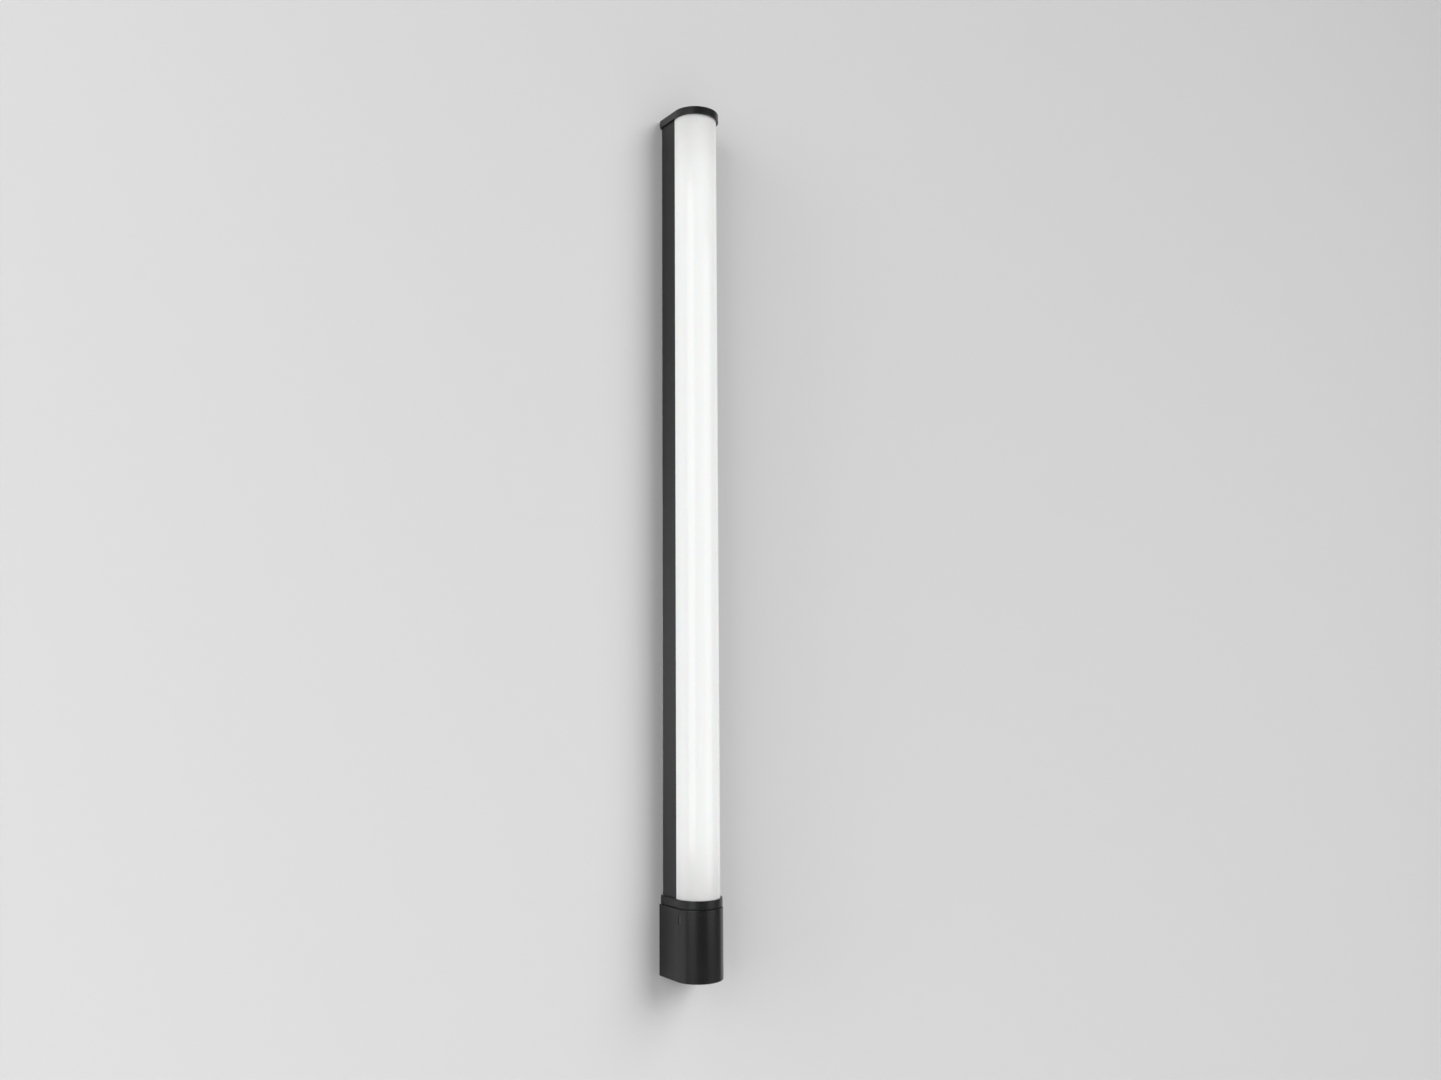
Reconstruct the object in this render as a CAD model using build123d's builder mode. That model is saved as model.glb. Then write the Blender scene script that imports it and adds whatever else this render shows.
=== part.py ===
# Tube wall light: an upright aluminium channel with a half-round opal diffuser, closed by an
# end cap at each end. It hangs on a clip at the top and stands on a terminal base at the
# bottom. A D-shaped cover slides up over the base and is held there by two spring catches.
#
# Sizes are in millimetres. The origin is on the wall, amid the base's four wall screws, with
# +X to the right, +Y into the wall and +Z up. A depth is measured out from the wall: a point
# at depth d lies at Y = -d, and Plane.XZ.offset(d) is the plane there, facing the room.
from build123d import *
import os
from math import radians, sqrt, tan

os.makedirs("parts", exist_ok=True)

# ---- Overall form ----------------------------------------------------------------------
total_length = 1000.0
profile_width = 50.0
side_depth = 38.0  # where the flat sides turn into the half-round front
split_depth = 32.0  # joint between the channel and the diffuser
stand_off = 2.5  # air between the wall and the channel
wall_gap = 0.3  # air behind the caps and the cover

# ---- Channel ---------------------------------------------------------------------------
profile_wall = 1.8
profile_corner = 1.0
profile_lip = 0.4  # chamfer beside the diffuser
web_depth = 25.0  # rear face of the web that carries the LED boards
web_thickness = 1.6
slot_opening = 12.0  # hanging slot in the back
slot_lip = 1.6
slot_width = 19.0
slot_depth = 2.4
slot_floor = 1.3
slot_wall = 1.5
port_radius = 1.5  # screw ports in the corners
port_wall = 1.5
port_mouth = 1.6
port_bite = 0.6  # how far a port's ring sinks into the walls beside it
bead_bite = 0.7  # bead that the diffuser snaps behind
bead_length = 1.0
bead_inset = 0.8
bead_slope = 0.2

# ---- Diffuser --------------------------------------------------------------------------
diffuser_wall = 1.8
foot_fit = 0.2
foot_thickness = 1.2
foot_shoulder = 1.6
barb_length = 1.0
barb_flat = 0.3

# ---- End caps and gaskets --------------------------------------------------------------
cap_overhang = 2.5
cap_plate = 3.0
cap_skirt = 6.0
cap_fit = 0.25
cap_corner = 3.0
cap_edge = 0.8
gasket_thickness = 1.0
gasket_fit = 0.4

# ---- Cover -----------------------------------------------------------------------------
cover_height = 79.0
cover_overhang = 3.0
cover_wall = 2.2
cover_edge = 1.0
cover_fit = 0.3
shadow_gap = 1.0  # dark line between the cover and the lower end cap
rib_back = 0.6  # guide ribs inside the cover, behind the base's flanges
rib_thickness = 1.6
rib_fit = 0.4
slit_width = 2.5
slit_length = 9.0
slit_drop = 11.3  # from the cover's rim to the slit's middle
slit_forward = 5.4  # its front edge, past the start of the curve

# ---- Base ------------------------------------------------------------------------------
flange_thickness = 2.0
shelf_thickness = 3.0
base_hole_radius = 2.4
base_hole_across = 30.0
base_hole_inset = 7.25  # from the base plate's upper and lower ends
cheek_inside = 20.0
cheek_thickness = 2.0
cheek_drop = 30.0  # the cheeks' lower end below the catches
cheek_reach = 44.0
cheek_toe = 2.0
peg_radius = 1.2
peg_length = 1.0
peg_spots = (8.5, 13.5)
base_edge = 0.8

# ---- Catches ---------------------------------------------------------------------------
catch_thickness = 0.5
catch_back = 6.0
catch_bend = 16.0
catch_fit = 0.3
catch_inset = 0.9  # between the catch's arm and the cover's wall
catch_bend_radius = 0.7
nib_inset = 0.6  # from the nib's tip to the cover's outer face
nib_tail = 3.0

# ---- Fasteners -------------------------------------------------------------------------
thread_fit = 0.05
pass_fit = 0.3
cap_screw_radius = 1.45
cap_screw_head = 3.3
cap_screw_length = 14.0
sink_fit = 0.15
base_screw_radius = 1.9
base_screw_head = 3.6
base_screw_head_height = 2.4
base_screw_length = 12.0
base_screw_x = 15.0
base_screw_depth = 40.0
base_boss_wall = 1.8
base_boss_length = 8.5
small_screw_radius = 1.3
small_screw_head = 2.6
small_screw_head_height = 1.7
screw_past = 0.5  # how far a small screw shows beyond the sheet it holds in

# ---- Feed-through between the base and the channel -------------------------------------
feed_depth = 16.0
feed_bore = 3.4
feed_neck = 5.0
feed_flange = 6.5
feed_flange_thickness = 1.8
rubber_fit = 0.1

# ---- LED boards ------------------------------------------------------------------------
board_count = 3
board_width = 24.0
board_thickness = 1.6
board_gap = 2.0
board_margin = 7.0
led_count = 24
led_width = 2.8
led_length = 3.5
led_height = 0.8
link_width = 7.0
link_length = 12.0
link_height = 3.2
link_x = -7.5
plug_x = 8.0
plug_rise = 26.0  # above the wire slot
plug_width = 7.0
plug_length = 12.0
plug_height = 4.6
plug_pitch = 3.0
plug_entry = 2.3  # wire centres above the board
plug_reach = 5.0

# ---- LED driver ------------------------------------------------------------------------
driver_width = 30.0
driver_depth = 16.5
driver_length = 280.0
driver_start = 38.0  # above the channel's lower end
driver_edge = 1.2
ear_width = 12.0
ear_length = 6.5
ear_thickness = 1.5
entry_depth = 16.9
entry_reach = 8.0
input_pitch = 3.4
output_pitch = 6.0

# ---- Terminals and wires ---------------------------------------------------------------
block_seat = 7.0
block_depth = 17.0
block_length = 16.0
block_drop = 25.25  # from the shelf down to the block's middle
block_edge = 1.0
pole_pitch = 11.0
pole_count = 3
block_end = 1.5
barrel_depth = 14.3
barrel_half = 3.2
barrel_bore = 2.0
barrel_length = 13.0
barrel_fit = 0.1
clamp_pitch = 8.0
clamp_screw_radius = 1.6
clamp_screw_stand = 2.0  # how far the screw stands out of the barrel
clamp_screw_reach = 1.5  # the screw's tip in front of the barrel's axis
well_fit = 0.2
block_post_radius = 3.0
block_recess = 6.0
wire_radius = 1.2
led_wire_radius = 0.9
wire_fit = 0.3
wire_slot_x = 16.2
wire_slot_width = 6.0
wire_slot_length = 15.0
wire_slot_rise = 23.0  # above the driver's upper end

# ---- Earth tag -------------------------------------------------------------------------
tag_rise = 24.0  # its screw above the channel's lower end
tag_radius = 4.2
tag_thickness = 0.8
tag_neck = 3.2
tag_barrel_radius = 1.9
tag_barrel_length = 6.0
tag_barrel_drop = 5.0

# ---- Cable entry -----------------------------------------------------------------------
cable_rise = 24.0  # above the base plate's lower end
cable_bore = 4.5
cable_neck = 7.5
cable_flange = 9.5
cable_recess = 1.5
cable_front = 1.5
cable_nose = 2.5
cable_nose_radius = 6.5

# ---- Wall clip -------------------------------------------------------------------------
clip_drop = 96.0  # below the channel's upper end
clip_width = 32.0
clip_length = 44.0
clip_hole_radius = 2.2
clip_hole_pitch = 30.0
clip_edge = 1.0
hook_length = 14.0
hook_thickness = 2.2
hook_fit = 0.6
hook_bite = 2.0
hook_flat = 0.6
hook_lift = 0.2
hook_tip_gap = 0.3

# ---- Levels and lines that several pieces share ----------------------------------------
half_width = profile_width / 2
base_foot = cover_wall + cover_fit  # the base plate's ends, above the lower end
base_head = cover_height + shadow_gap - shelf_thickness
lower_end = -(base_foot + base_head) / 2
upper_end = lower_end + total_length
cover_top = lower_end + cover_height
shelf_top = cover_top + shadow_gap
shelf_bottom = shelf_top - shelf_thickness
profile_bottom = shelf_top + cap_plate + gasket_thickness
profile_top = upper_end - cap_plate - gasket_thickness
profile_length = profile_top - profile_bottom

bay_half = half_width - profile_wall
slot_back = stand_off + slot_lip
slot_front = slot_back + slot_depth
bay_floor = slot_front + slot_floor
web_front = web_depth + web_thickness
port_ring = port_radius + port_wall
port_x = bay_half - port_ring + port_bite
port_depths = (stand_off + profile_wall + port_ring - port_bite, web_depth - port_ring + port_bite)
port_spots = [(side * port_x, depth) for side in (-1, 1) for depth in port_depths]

cap_half = half_width + cap_overhang
cover_half = half_width + cover_overhang
cover_inside = cover_half - cover_wall
cover_floor = lower_end + cover_wall
shelf_half = cover_inside - cover_fit
rib_front = rib_back + rib_thickness
rib_inside = shelf_half - rib_thickness - cover_fit
base_bottom = lower_end + base_foot
base_hole_up = shelf_bottom - base_bottom - 2 * base_hole_inset
base_back = rib_front + cover_fit
base_front = base_back + flange_thickness
slit_level = cover_top - slit_drop
slit_front = side_depth + slit_forward
slit_back = slit_front - slit_width
cheek_outside = cheek_inside + cheek_thickness

board_length = (profile_length - 2 * board_margin - (board_count - 1) * board_gap) / board_count
board_front = web_front + board_thickness
led_pitch = board_length / led_count
board_starts = [
    profile_bottom + board_margin + index * (board_length + board_gap)
    for index in range(board_count)
]
board_screw_levels = [
    start + led_pitch * step
    for start in board_starts
    for step in (1, led_count - 1)
]

driver_bottom = profile_bottom + driver_start
driver_top = driver_bottom + driver_length
ear_levels = (driver_bottom - ear_length / 2, driver_top + ear_length / 2)
wire_slot_level = driver_top + wire_slot_rise
tag_level = profile_bottom + tag_rise
block_height = shelf_bottom - block_drop
cable_height = base_bottom + cable_rise
clip_height = profile_top - clip_drop
block_front = block_seat + block_depth
block_width = pole_count * pole_pitch + 2 * block_end


def at(x, depth, height):
    """A point given by its depth from the wall."""
    return (x, -depth, height)


def span(left, right, back, front, mode=Mode.ADD):
    """A rectangle between two X values and two depths, seen from above."""
    with Locations(((left + right) / 2, -(back + front) / 2)):
        Rectangle(right - left, front - back, mode=mode)


def d_shape(half, back, mode=Mode.ADD):
    """A square back, straight sides and a half-round front, seen from above."""
    span(-half, half, back, side_depth, mode=mode)
    with Locations(Location((0, -side_depth), 180)):
        Circle(half, arc_size=180, align=(Align.CENTER, Align.MIN), mode=mode)


def facing_down(level):
    """The plane at a level that faces down; its second axis is the depth."""
    return Plane(origin=(0, 0, level), x_dir=(1, 0, 0), z_dir=(0, 0, -1))


def pan_screw(radius, length, head, head_height):
    """A screw with a low flat-topped head on z = 0 and its shank below."""
    with BuildPart() as screw:
        with BuildSketch(Plane.XZ):
            with BuildLine():
                Polyline(
                    (0, -length),
                    (radius, -length),
                    (radius, 0),
                    (head, 0),
                    (head, head_height),
                    (0, head_height),
                    close=True,
                )
            make_face()
        revolve(axis=Axis.Z)
    return screw.part


def sunk_screw(radius, length, head):
    """A screw with a 90-degree flat head flush with z = 0."""
    with BuildPart() as screw:
        with BuildSketch(Plane.XZ):
            with BuildLine():
                Polyline(
                    (0, 0), (head, 0), (radius, radius - head), (radius, -length), (0, -length),
                    close=True,
                )
            make_face()
        revolve(axis=Axis.Z)
    return screw.part


def bend_radii(points):
    """One radius for each corner of a wire, as large as the runs beside it allow."""
    radii = []
    for before, corner, after in zip(points, points[1:], points[2:]):
        run_in = Vector(*corner) - Vector(*before)
        run_out = Vector(*after) - Vector(*corner)
        half_turn = radians(run_in.get_angle(run_out)) / 2
        radii.append(0.45 * min(run_in.length, run_out.length) / tan(half_turn))
    return radii


# ---- Body profile: extruded aluminium channel ------------------------------------------
# One die section: a closed rear bay for the driver with the hanging slot in its back, a web
# that cools the LED boards, and an open front bay whose edges hold the diffuser.
with BuildPart() as body_profile:
    with BuildSketch(Plane.XY.offset(profile_bottom)) as channel:
        span(-half_width, half_width, stand_off, split_depth)
        fillet(channel.vertices().group_by(Axis.Y)[-1], profile_corner)
        chamfer(channel.vertices().group_by(Axis.Y)[0], profile_lip)
        span(-bay_half, bay_half, stand_off + profile_wall, web_depth, mode=Mode.SUBTRACT)
        span(-bay_half, bay_half, web_front, split_depth, mode=Mode.SUBTRACT)
        slot_outside = slot_width / 2 + slot_wall
        span(-slot_outside, slot_outside, stand_off, bay_floor)
        span(-slot_width / 2, slot_width / 2, slot_back, slot_front, mode=Mode.SUBTRACT)
        span(-slot_opening / 2, slot_opening / 2, stand_off, slot_back, mode=Mode.SUBTRACT)
        with Locations(*[(x, -depth) for x, depth in port_spots]):
            Circle(port_ring)
            Circle(port_radius, mode=Mode.SUBTRACT)
        for depth in port_depths:
            mouth_back = depth - port_mouth / 2
            mouth_front = depth + port_mouth / 2
            span(port_x - port_ring, port_x, mouth_back, mouth_front, mode=Mode.SUBTRACT)
            span(-port_x, port_ring - port_x, mouth_back, mouth_front, mode=Mode.SUBTRACT)
        with BuildLine():
            bead_top = -(split_depth - bead_inset)
            Polyline(
                (bay_half, bead_top),
                (bay_half - bead_bite, bead_top + bead_slope),
                (bay_half - bead_bite, bead_top + bead_length - bead_slope),
                (bay_half, bead_top + bead_length),
                close=True,
            )
        bead = make_face()
        mirror(bead, about=Plane.YZ)
    extrude(amount=profile_length)
    with Locations(Plane.XZ.offset(web_front)):
        with Locations(*[(0, level) for level in board_screw_levels]):
            Hole(small_screw_radius + thread_fit, depth=web_thickness)
    with Locations(Plane.XZ.offset(bay_floor)):
        with Locations(*[(0, level) for level in ear_levels]):
            Hole(small_screw_radius + thread_fit, depth=slot_floor)
        with Locations((0, tag_level)):
            Hole(base_screw_radius + thread_fit, depth=slot_floor)
    with BuildSketch(Plane.XZ.offset(web_depth)):
        with Locations((wire_slot_x, wire_slot_level)):
            SlotOverall(wire_slot_length, wire_slot_width, rotation=90)
    extrude(amount=web_thickness, mode=Mode.SUBTRACT)
body_profile.part.label = "body_profile"
export_step(body_profile.part, "parts/body_profile.step")

# ---- Diffuser: extruded opal shell with two snap feet ----------------------------------
with BuildPart() as diffuser:
    with BuildSketch(Plane.XY.offset(profile_bottom)):
        d_shape(half_width, split_depth)
        d_shape(half_width - diffuser_wall, split_depth, mode=Mode.SUBTRACT)
        with BuildLine():
            foot_face = bay_half - bead_bite - foot_fit
            barb_tip = bay_half - foot_fit
            hook_level = -(split_depth - bead_inset - bead_length - foot_fit)
            foot_end = hook_level + barb_length
            shell_inside = half_width - diffuser_wall
            Polyline(
                (shell_inside, -split_depth),
                (shell_inside, -split_depth - foot_shoulder),
                (foot_face - foot_thickness, -split_depth - foot_shoulder),
                (foot_face - foot_thickness, foot_end),
                (foot_face, foot_end),
                (barb_tip, hook_level + barb_flat),
                (barb_tip, hook_level),
                (foot_face, hook_level),
                (foot_face, -split_depth),
                close=True,
            )
        foot = make_face()
        mirror(foot, about=Plane.YZ)
    extrude(amount=profile_length)
diffuser.part.label = "diffuser"
export_step(diffuser.part, "parts/diffuser.step")

# ---- End caps: one moulding, drilled for the feed-through at the lower end --------------
# The blank stands on its outer face with the skirt upwards.
with BuildPart() as cap_blank:
    with BuildSketch():
        d_shape(cap_half, wall_gap)
    extrude(amount=cap_plate + cap_skirt)
    fillet(cap_blank.edges().filter_by(Axis.Z).group_by(Axis.Y)[-1], cap_corner)
    chamfer(cap_blank.faces().sort_by(Axis.Z)[0].edges(), cap_edge)
    with BuildSketch(Plane.XY.offset(cap_plate)):
        d_shape(half_width + cap_fit, stand_off - cap_fit)
    extrude(amount=cap_skirt, mode=Mode.SUBTRACT)
    with Locations(facing_down(0)):
        with Locations(*port_spots):
            CounterSinkHole(
                cap_screw_radius + pass_fit, cap_screw_head + sink_fit, cap_plate, 90
            )

with BuildPart() as top_end_cap:
    with Locations(Location((0, 0, upper_end), (0, 180, 0))):
        add(cap_blank.part)
top_end_cap.part.label = "top_end_cap"
export_step(top_end_cap.part, "parts/top_end_cap.step")

base_screw_spots = [(side * base_screw_x, base_screw_depth) for side in (-1, 1)]
boss_radius = base_screw_radius + base_boss_wall
with BuildPart() as lower_end_cap:
    with Locations((0, 0, shelf_top)):
        add(cap_blank.part)
    with BuildSketch(Plane.XY.offset(shelf_top + cap_plate)):
        with Locations(*[(x, -depth) for x, depth in base_screw_spots]):
            Circle(boss_radius)
    extrude(amount=base_boss_length)
    with Locations(facing_down(shelf_top)):
        with Locations(*base_screw_spots):
            Hole(base_screw_radius + thread_fit, depth=base_screw_length)
        with Locations((0, feed_depth)):
            Hole(feed_neck + rubber_fit, depth=cap_plate)
lower_end_cap.part.label = "lower_end_cap"
export_step(lower_end_cap.part, "parts/lower_end_cap.step")

# ---- Gaskets: flat silicone sheets between the caps and the channel --------------------
with BuildPart() as top_cap_gasket:
    with BuildSketch(Plane.XY.offset(profile_top)):
        d_shape(half_width, stand_off)
        with Locations(*[(x, -depth) for x, depth in port_spots]):
            Circle(cap_screw_radius + gasket_fit, mode=Mode.SUBTRACT)
    extrude(amount=gasket_thickness)
top_cap_gasket.part.label = "top_cap_gasket"
export_step(top_cap_gasket.part, "parts/top_cap_gasket.step")

with BuildPart() as lower_cap_gasket:
    with BuildSketch(Plane.XY.offset(profile_bottom - gasket_thickness)):
        d_shape(half_width, stand_off)
        with Locations(*[(x, -depth) for x, depth in port_spots]):
            Circle(cap_screw_radius + gasket_fit, mode=Mode.SUBTRACT)
        with Locations(*[(x, -depth) for x, depth in base_screw_spots]):
            Circle(boss_radius + gasket_fit, mode=Mode.SUBTRACT)
        with Locations((0, -feed_depth)):
            Circle(feed_flange + gasket_fit, mode=Mode.SUBTRACT)
    extrude(amount=gasket_thickness)
lower_cap_gasket.part.label = "lower_cap_gasket"
export_step(lower_cap_gasket.part, "parts/lower_cap_gasket.step")

# ---- Cap screws: four flat heads in each cap, cutting into the channel's ports ---------
cap_screw = sunk_screw(cap_screw_radius, cap_screw_length, cap_screw_head)
with BuildPart() as top_cap_screws:
    with Locations(*[at(x, depth, upper_end) for x, depth in port_spots]):
        add(cap_screw)
top_cap_screws.part.label = "top_cap_screws"
export_step(top_cap_screws.part, "parts/top_cap_screws.step")

with BuildPart() as lower_cap_screws:
    with Locations(facing_down(shelf_top)):
        with Locations(*port_spots):
            add(cap_screw)
lower_cap_screws.part.label = "lower_cap_screws"
export_step(lower_cap_screws.part, "parts/lower_cap_screws.step")

# ---- Feed grommet: rubber bush that leads the wires up through the lower cap -----------
with BuildPart() as feed_grommet:
    with BuildSketch(Plane.XY.offset(shelf_top - feed_flange_thickness)):
        with Locations((0, -feed_depth)):
            Circle(feed_flange)
            Circle(feed_bore, mode=Mode.SUBTRACT)
    extrude(amount=feed_flange_thickness)
    with BuildSketch(Plane.XY.offset(shelf_top)):
        with Locations((0, -feed_depth)):
            Circle(feed_neck)
            Circle(feed_bore, mode=Mode.SUBTRACT)
    extrude(amount=cap_plate)
    with BuildSketch(Plane.XY.offset(shelf_top + cap_plate)):
        with Locations((0, -feed_depth)):
            Circle(feed_flange)
            Circle(feed_bore, mode=Mode.SUBTRACT)
    extrude(amount=feed_flange_thickness)
feed_grommet.part.label = "feed_grommet"
export_step(feed_grommet.part, "parts/feed_grommet.step")

# ---- LED boards: three aluminium-core boards end to end on the web, each with its LEDs --
for index, start in enumerate(board_starts):
    with BuildPart() as led_board:
        with BuildSketch(Plane.XZ.offset(web_front)):
            with Locations((0, start + board_length / 2)):
                Rectangle(board_width, board_length)
            with Locations((0, start + led_pitch), (0, start + board_length - led_pitch)):
                Circle(small_screw_radius + pass_fit, mode=Mode.SUBTRACT)
        extrude(amount=board_thickness)
    led_board.part.label = f"led_board_{index + 1}"
    export_step(led_board.part, f"parts/led_board_{index + 1}.step")

    with BuildPart() as led_packages:
        with BuildSketch(Plane.XZ.offset(board_front)):
            with Locations((0, start + board_length / 2)):
                with GridLocations(led_width, led_pitch, 1, led_count):
                    Rectangle(led_width, led_length)
        extrude(amount=led_height)
    led_packages.part.label = f"led_packages_{index + 1}"
    export_step(led_packages.part, f"parts/led_packages_{index + 1}.step")

# ---- Board connectors: two links across the joints and the plug for the driver's wires --
joint_levels = [start - board_gap / 2 for start in board_starts[1:]]
plug_bottom = wire_slot_level + plug_rise
plug_wire_depth = board_front + plug_entry
plug_holes = [(plug_x + side * plug_pitch / 2, plug_wire_depth) for side in (-1, 1)]
with BuildPart() as board_connectors:
    with BuildSketch(Plane.XZ.offset(board_front)):
        with Locations(*[(link_x, level) for level in joint_levels]):
            Rectangle(link_width, link_length)
    extrude(amount=link_height)
    with BuildSketch(Plane.XZ.offset(board_front)):
        with Locations((plug_x, plug_bottom + plug_length / 2)):
            Rectangle(plug_width, plug_length)
    extrude(amount=plug_height)
    with Locations(facing_down(plug_bottom)):
        with Locations(*plug_holes):
            Hole(led_wire_radius + wire_fit, depth=plug_reach)
board_connectors.part.label = "board_connectors"
export_step(board_connectors.part, "parts/board_connectors.step")

board_screw = pan_screw(
    small_screw_radius,
    board_thickness + web_thickness + screw_past,
    small_screw_head,
    small_screw_head_height,
)
with BuildPart() as board_screws:
    with Locations(Plane.XZ.offset(board_front)):
        with Locations(*[(0, level) for level in board_screw_levels]):
            add(board_screw)
board_screws.part.label = "board_screws"
export_step(board_screws.part, "parts/board_screws.step")

# ---- LED driver: a slim closed case on the slot's floor, with an ear at each end --------
with BuildPart() as led_driver:
    with BuildSketch(Plane.XY.offset(driver_bottom)) as case_section:
        span(-driver_width / 2, driver_width / 2, bay_floor, bay_floor + driver_depth)
        fillet(case_section.vertices(), driver_edge)
    extrude(amount=driver_length)
    with BuildSketch(Plane.XZ.offset(bay_floor)) as ears:
        with Locations(*[(0, level) for level in ear_levels]):
            Rectangle(ear_width, ear_length)
            Circle(small_screw_radius + pass_fit, mode=Mode.SUBTRACT)
    extrude(amount=ear_thickness)
    with Locations(facing_down(driver_bottom)):
        with Locations((-input_pitch / 2, entry_depth), (input_pitch / 2, entry_depth)):
            Hole(wire_radius + wire_fit, depth=entry_reach)
    with Locations(*[at(side * output_pitch / 2, entry_depth, driver_top) for side in (-1, 1)]):
        Hole(led_wire_radius + wire_fit, depth=entry_reach)
led_driver.part.label = "led_driver"
export_step(led_driver.part, "parts/led_driver.step")

driver_screw = pan_screw(
    small_screw_radius,
    ear_thickness + slot_floor + screw_past,
    small_screw_head,
    small_screw_head_height,
)
with BuildPart() as driver_screws:
    with Locations(Plane.XZ.offset(bay_floor + ear_thickness)):
        with Locations(*[(0, level) for level in ear_levels]):
            add(driver_screw)
driver_screws.part.label = "driver_screws"
export_step(driver_screws.part, "parts/driver_screws.step")

# ---- Wall clip: moulded hanger whose hooks snap into the slot in the channel's back -----
with BuildPart() as wall_clip:
    with BuildSketch(Plane.XZ):
        with Locations((0, clip_height)):
            RectangleRounded(clip_width, clip_length, clip_edge)
            with GridLocations(clip_width, clip_hole_pitch, 1, 2):
                Circle(clip_hole_radius, mode=Mode.SUBTRACT)
    extrude(amount=stand_off)
    with BuildSketch(Plane.XY.offset(clip_height - hook_length / 2)):
        with BuildLine():
            hook_outside = slot_opening / 2 - hook_fit
            hook_inside = hook_outside - hook_thickness
            hook_seat = slot_back + hook_lift
            hook_end = slot_front - hook_tip_gap
            Polyline(
                (hook_inside, -stand_off),
                (hook_outside, -stand_off),
                (hook_outside, -hook_seat),
                (hook_outside + hook_bite, -hook_seat),
                (hook_outside + hook_bite, -hook_seat - hook_flat),
                (hook_outside, -hook_end),
                (hook_inside, -hook_end),
                close=True,
            )
        hook = make_face()
        mirror(hook, about=Plane.YZ)
    extrude(amount=hook_length)
wall_clip.part.label = "wall_clip"
export_step(wall_clip.part, "parts/wall_clip.step")

# ---- Base plate: moulded wall base with the shelf that carries the channel --------------
# The plate is narrow at the wall and wide in front, so that the cover's ribs run behind its
# flanges. Two cheeks brace the shelf and carry the catches.
cheek_knee = catch_bend + peg_radius
catch_low = slit_level - slit_length / 2 + catch_fit
with BuildPart() as base_plate:
    with BuildSketch(Plane.XZ):
        with Locations((0, (base_bottom + shelf_bottom) / 2)):
            Rectangle(2 * (rib_inside - rib_fit), shelf_bottom - base_bottom)
    extrude(amount=base_back)
    with BuildSketch(Plane.XZ.offset(base_back)):
        with Locations((0, (base_bottom + shelf_bottom) / 2)):
            Rectangle(2 * shelf_half, shelf_bottom - base_bottom)
    extrude(amount=flange_thickness)
    fillet(base_plate.edges().filter_by(Axis.Y).group_by(Axis.Z)[0], base_edge)
    with BuildSketch(Plane.XY.offset(shelf_bottom)):
        d_shape(shelf_half, 0)
        with Locations((0, -feed_depth)):
            Circle(feed_flange + pass_fit, mode=Mode.SUBTRACT)
        with Locations(*[(x, -depth) for x, depth in base_screw_spots]):
            Circle(base_screw_radius + pass_fit, mode=Mode.SUBTRACT)
    extrude(amount=shelf_thickness)
    with BuildSketch(Plane.YZ.offset(cheek_inside)):
        with BuildLine():
            Polyline(
                (-base_front, catch_low - cheek_drop),
                (-cheek_knee, catch_low - cheek_toe),
                (-cheek_reach, shelf_bottom - cheek_toe),
                (-cheek_reach, shelf_bottom),
                (-base_front, shelf_bottom),
                close=True,
            )
        make_face()
    cheek = extrude(amount=cheek_thickness)
    mirror(cheek, about=Plane.YZ)
    with BuildSketch(Plane.YZ.offset(cheek_outside)):
        with Locations(*[(-depth, slit_level) for depth in peg_spots]):
            Circle(peg_radius)
    pegs = extrude(amount=peg_length)
    mirror(pegs, about=Plane.YZ)
    with BuildSketch(Plane.XZ.offset(base_front)):
        with Locations((0, block_height)):
            with GridLocations(pole_pitch, pole_pitch, 2, 1):
                Circle(block_post_radius)
    extrude(amount=block_seat - base_front)
    with Locations(Plane.XZ.offset(block_seat)):
        with Locations((0, block_height)):
            with GridLocations(pole_pitch, pole_pitch, 2, 1):
                Hole(small_screw_radius + thread_fit, depth=block_seat - wall_gap)
    with Locations(Plane.XZ.offset(base_front)):
        with GridLocations(base_hole_across, base_hole_up, 2, 2):
            Hole(base_hole_radius, depth=base_front)
        with Locations((0, cable_height)):
            Hole(cable_neck + rubber_fit, depth=base_front)
    with Locations(Plane.XZ):
        with Locations((0, cable_height)):
            Hole(cable_flange + rubber_fit, depth=cable_recess)
base_plate.part.label = "base_plate"
export_step(base_plate.part, "parts/base_plate.step")

# ---- Base screws: two from below, through the shelf into the lower cap's bosses --------
base_screw = pan_screw(
    base_screw_radius, base_screw_length, base_screw_head, base_screw_head_height
)
with BuildPart() as base_screws:
    with Locations(facing_down(shelf_bottom)):
        with Locations(*base_screw_spots):
            add(base_screw)
base_screws.part.label = "base_screws"
export_step(base_screws.part, "parts/base_screws.step")

# ---- Cable grommet: rubber, gripping the edge of the cable hole on both faces ----------
with BuildPart() as cable_grommet:
    with BuildSketch(Plane.YZ):
        with BuildLine():
            Polyline(
                (-wall_gap, cable_bore),
                (-wall_gap, cable_flange),
                (-cable_recess, cable_flange),
                (-cable_recess, cable_neck),
                (-base_front, cable_neck),
                (-base_front, cable_flange),
                (-base_front - cable_front, cable_flange),
                (-base_front - cable_front - cable_nose, cable_nose_radius),
                (-base_front - cable_front - cable_nose, cable_bore),
                close=True,
            )
        make_face()
    revolve(axis=Axis.Y)
cable_grommet.part.locate(Location((0, 0, cable_height)))
cable_grommet.part.label = "cable_grommet"
export_step(cable_grommet.part, "parts/cable_grommet.step")

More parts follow.
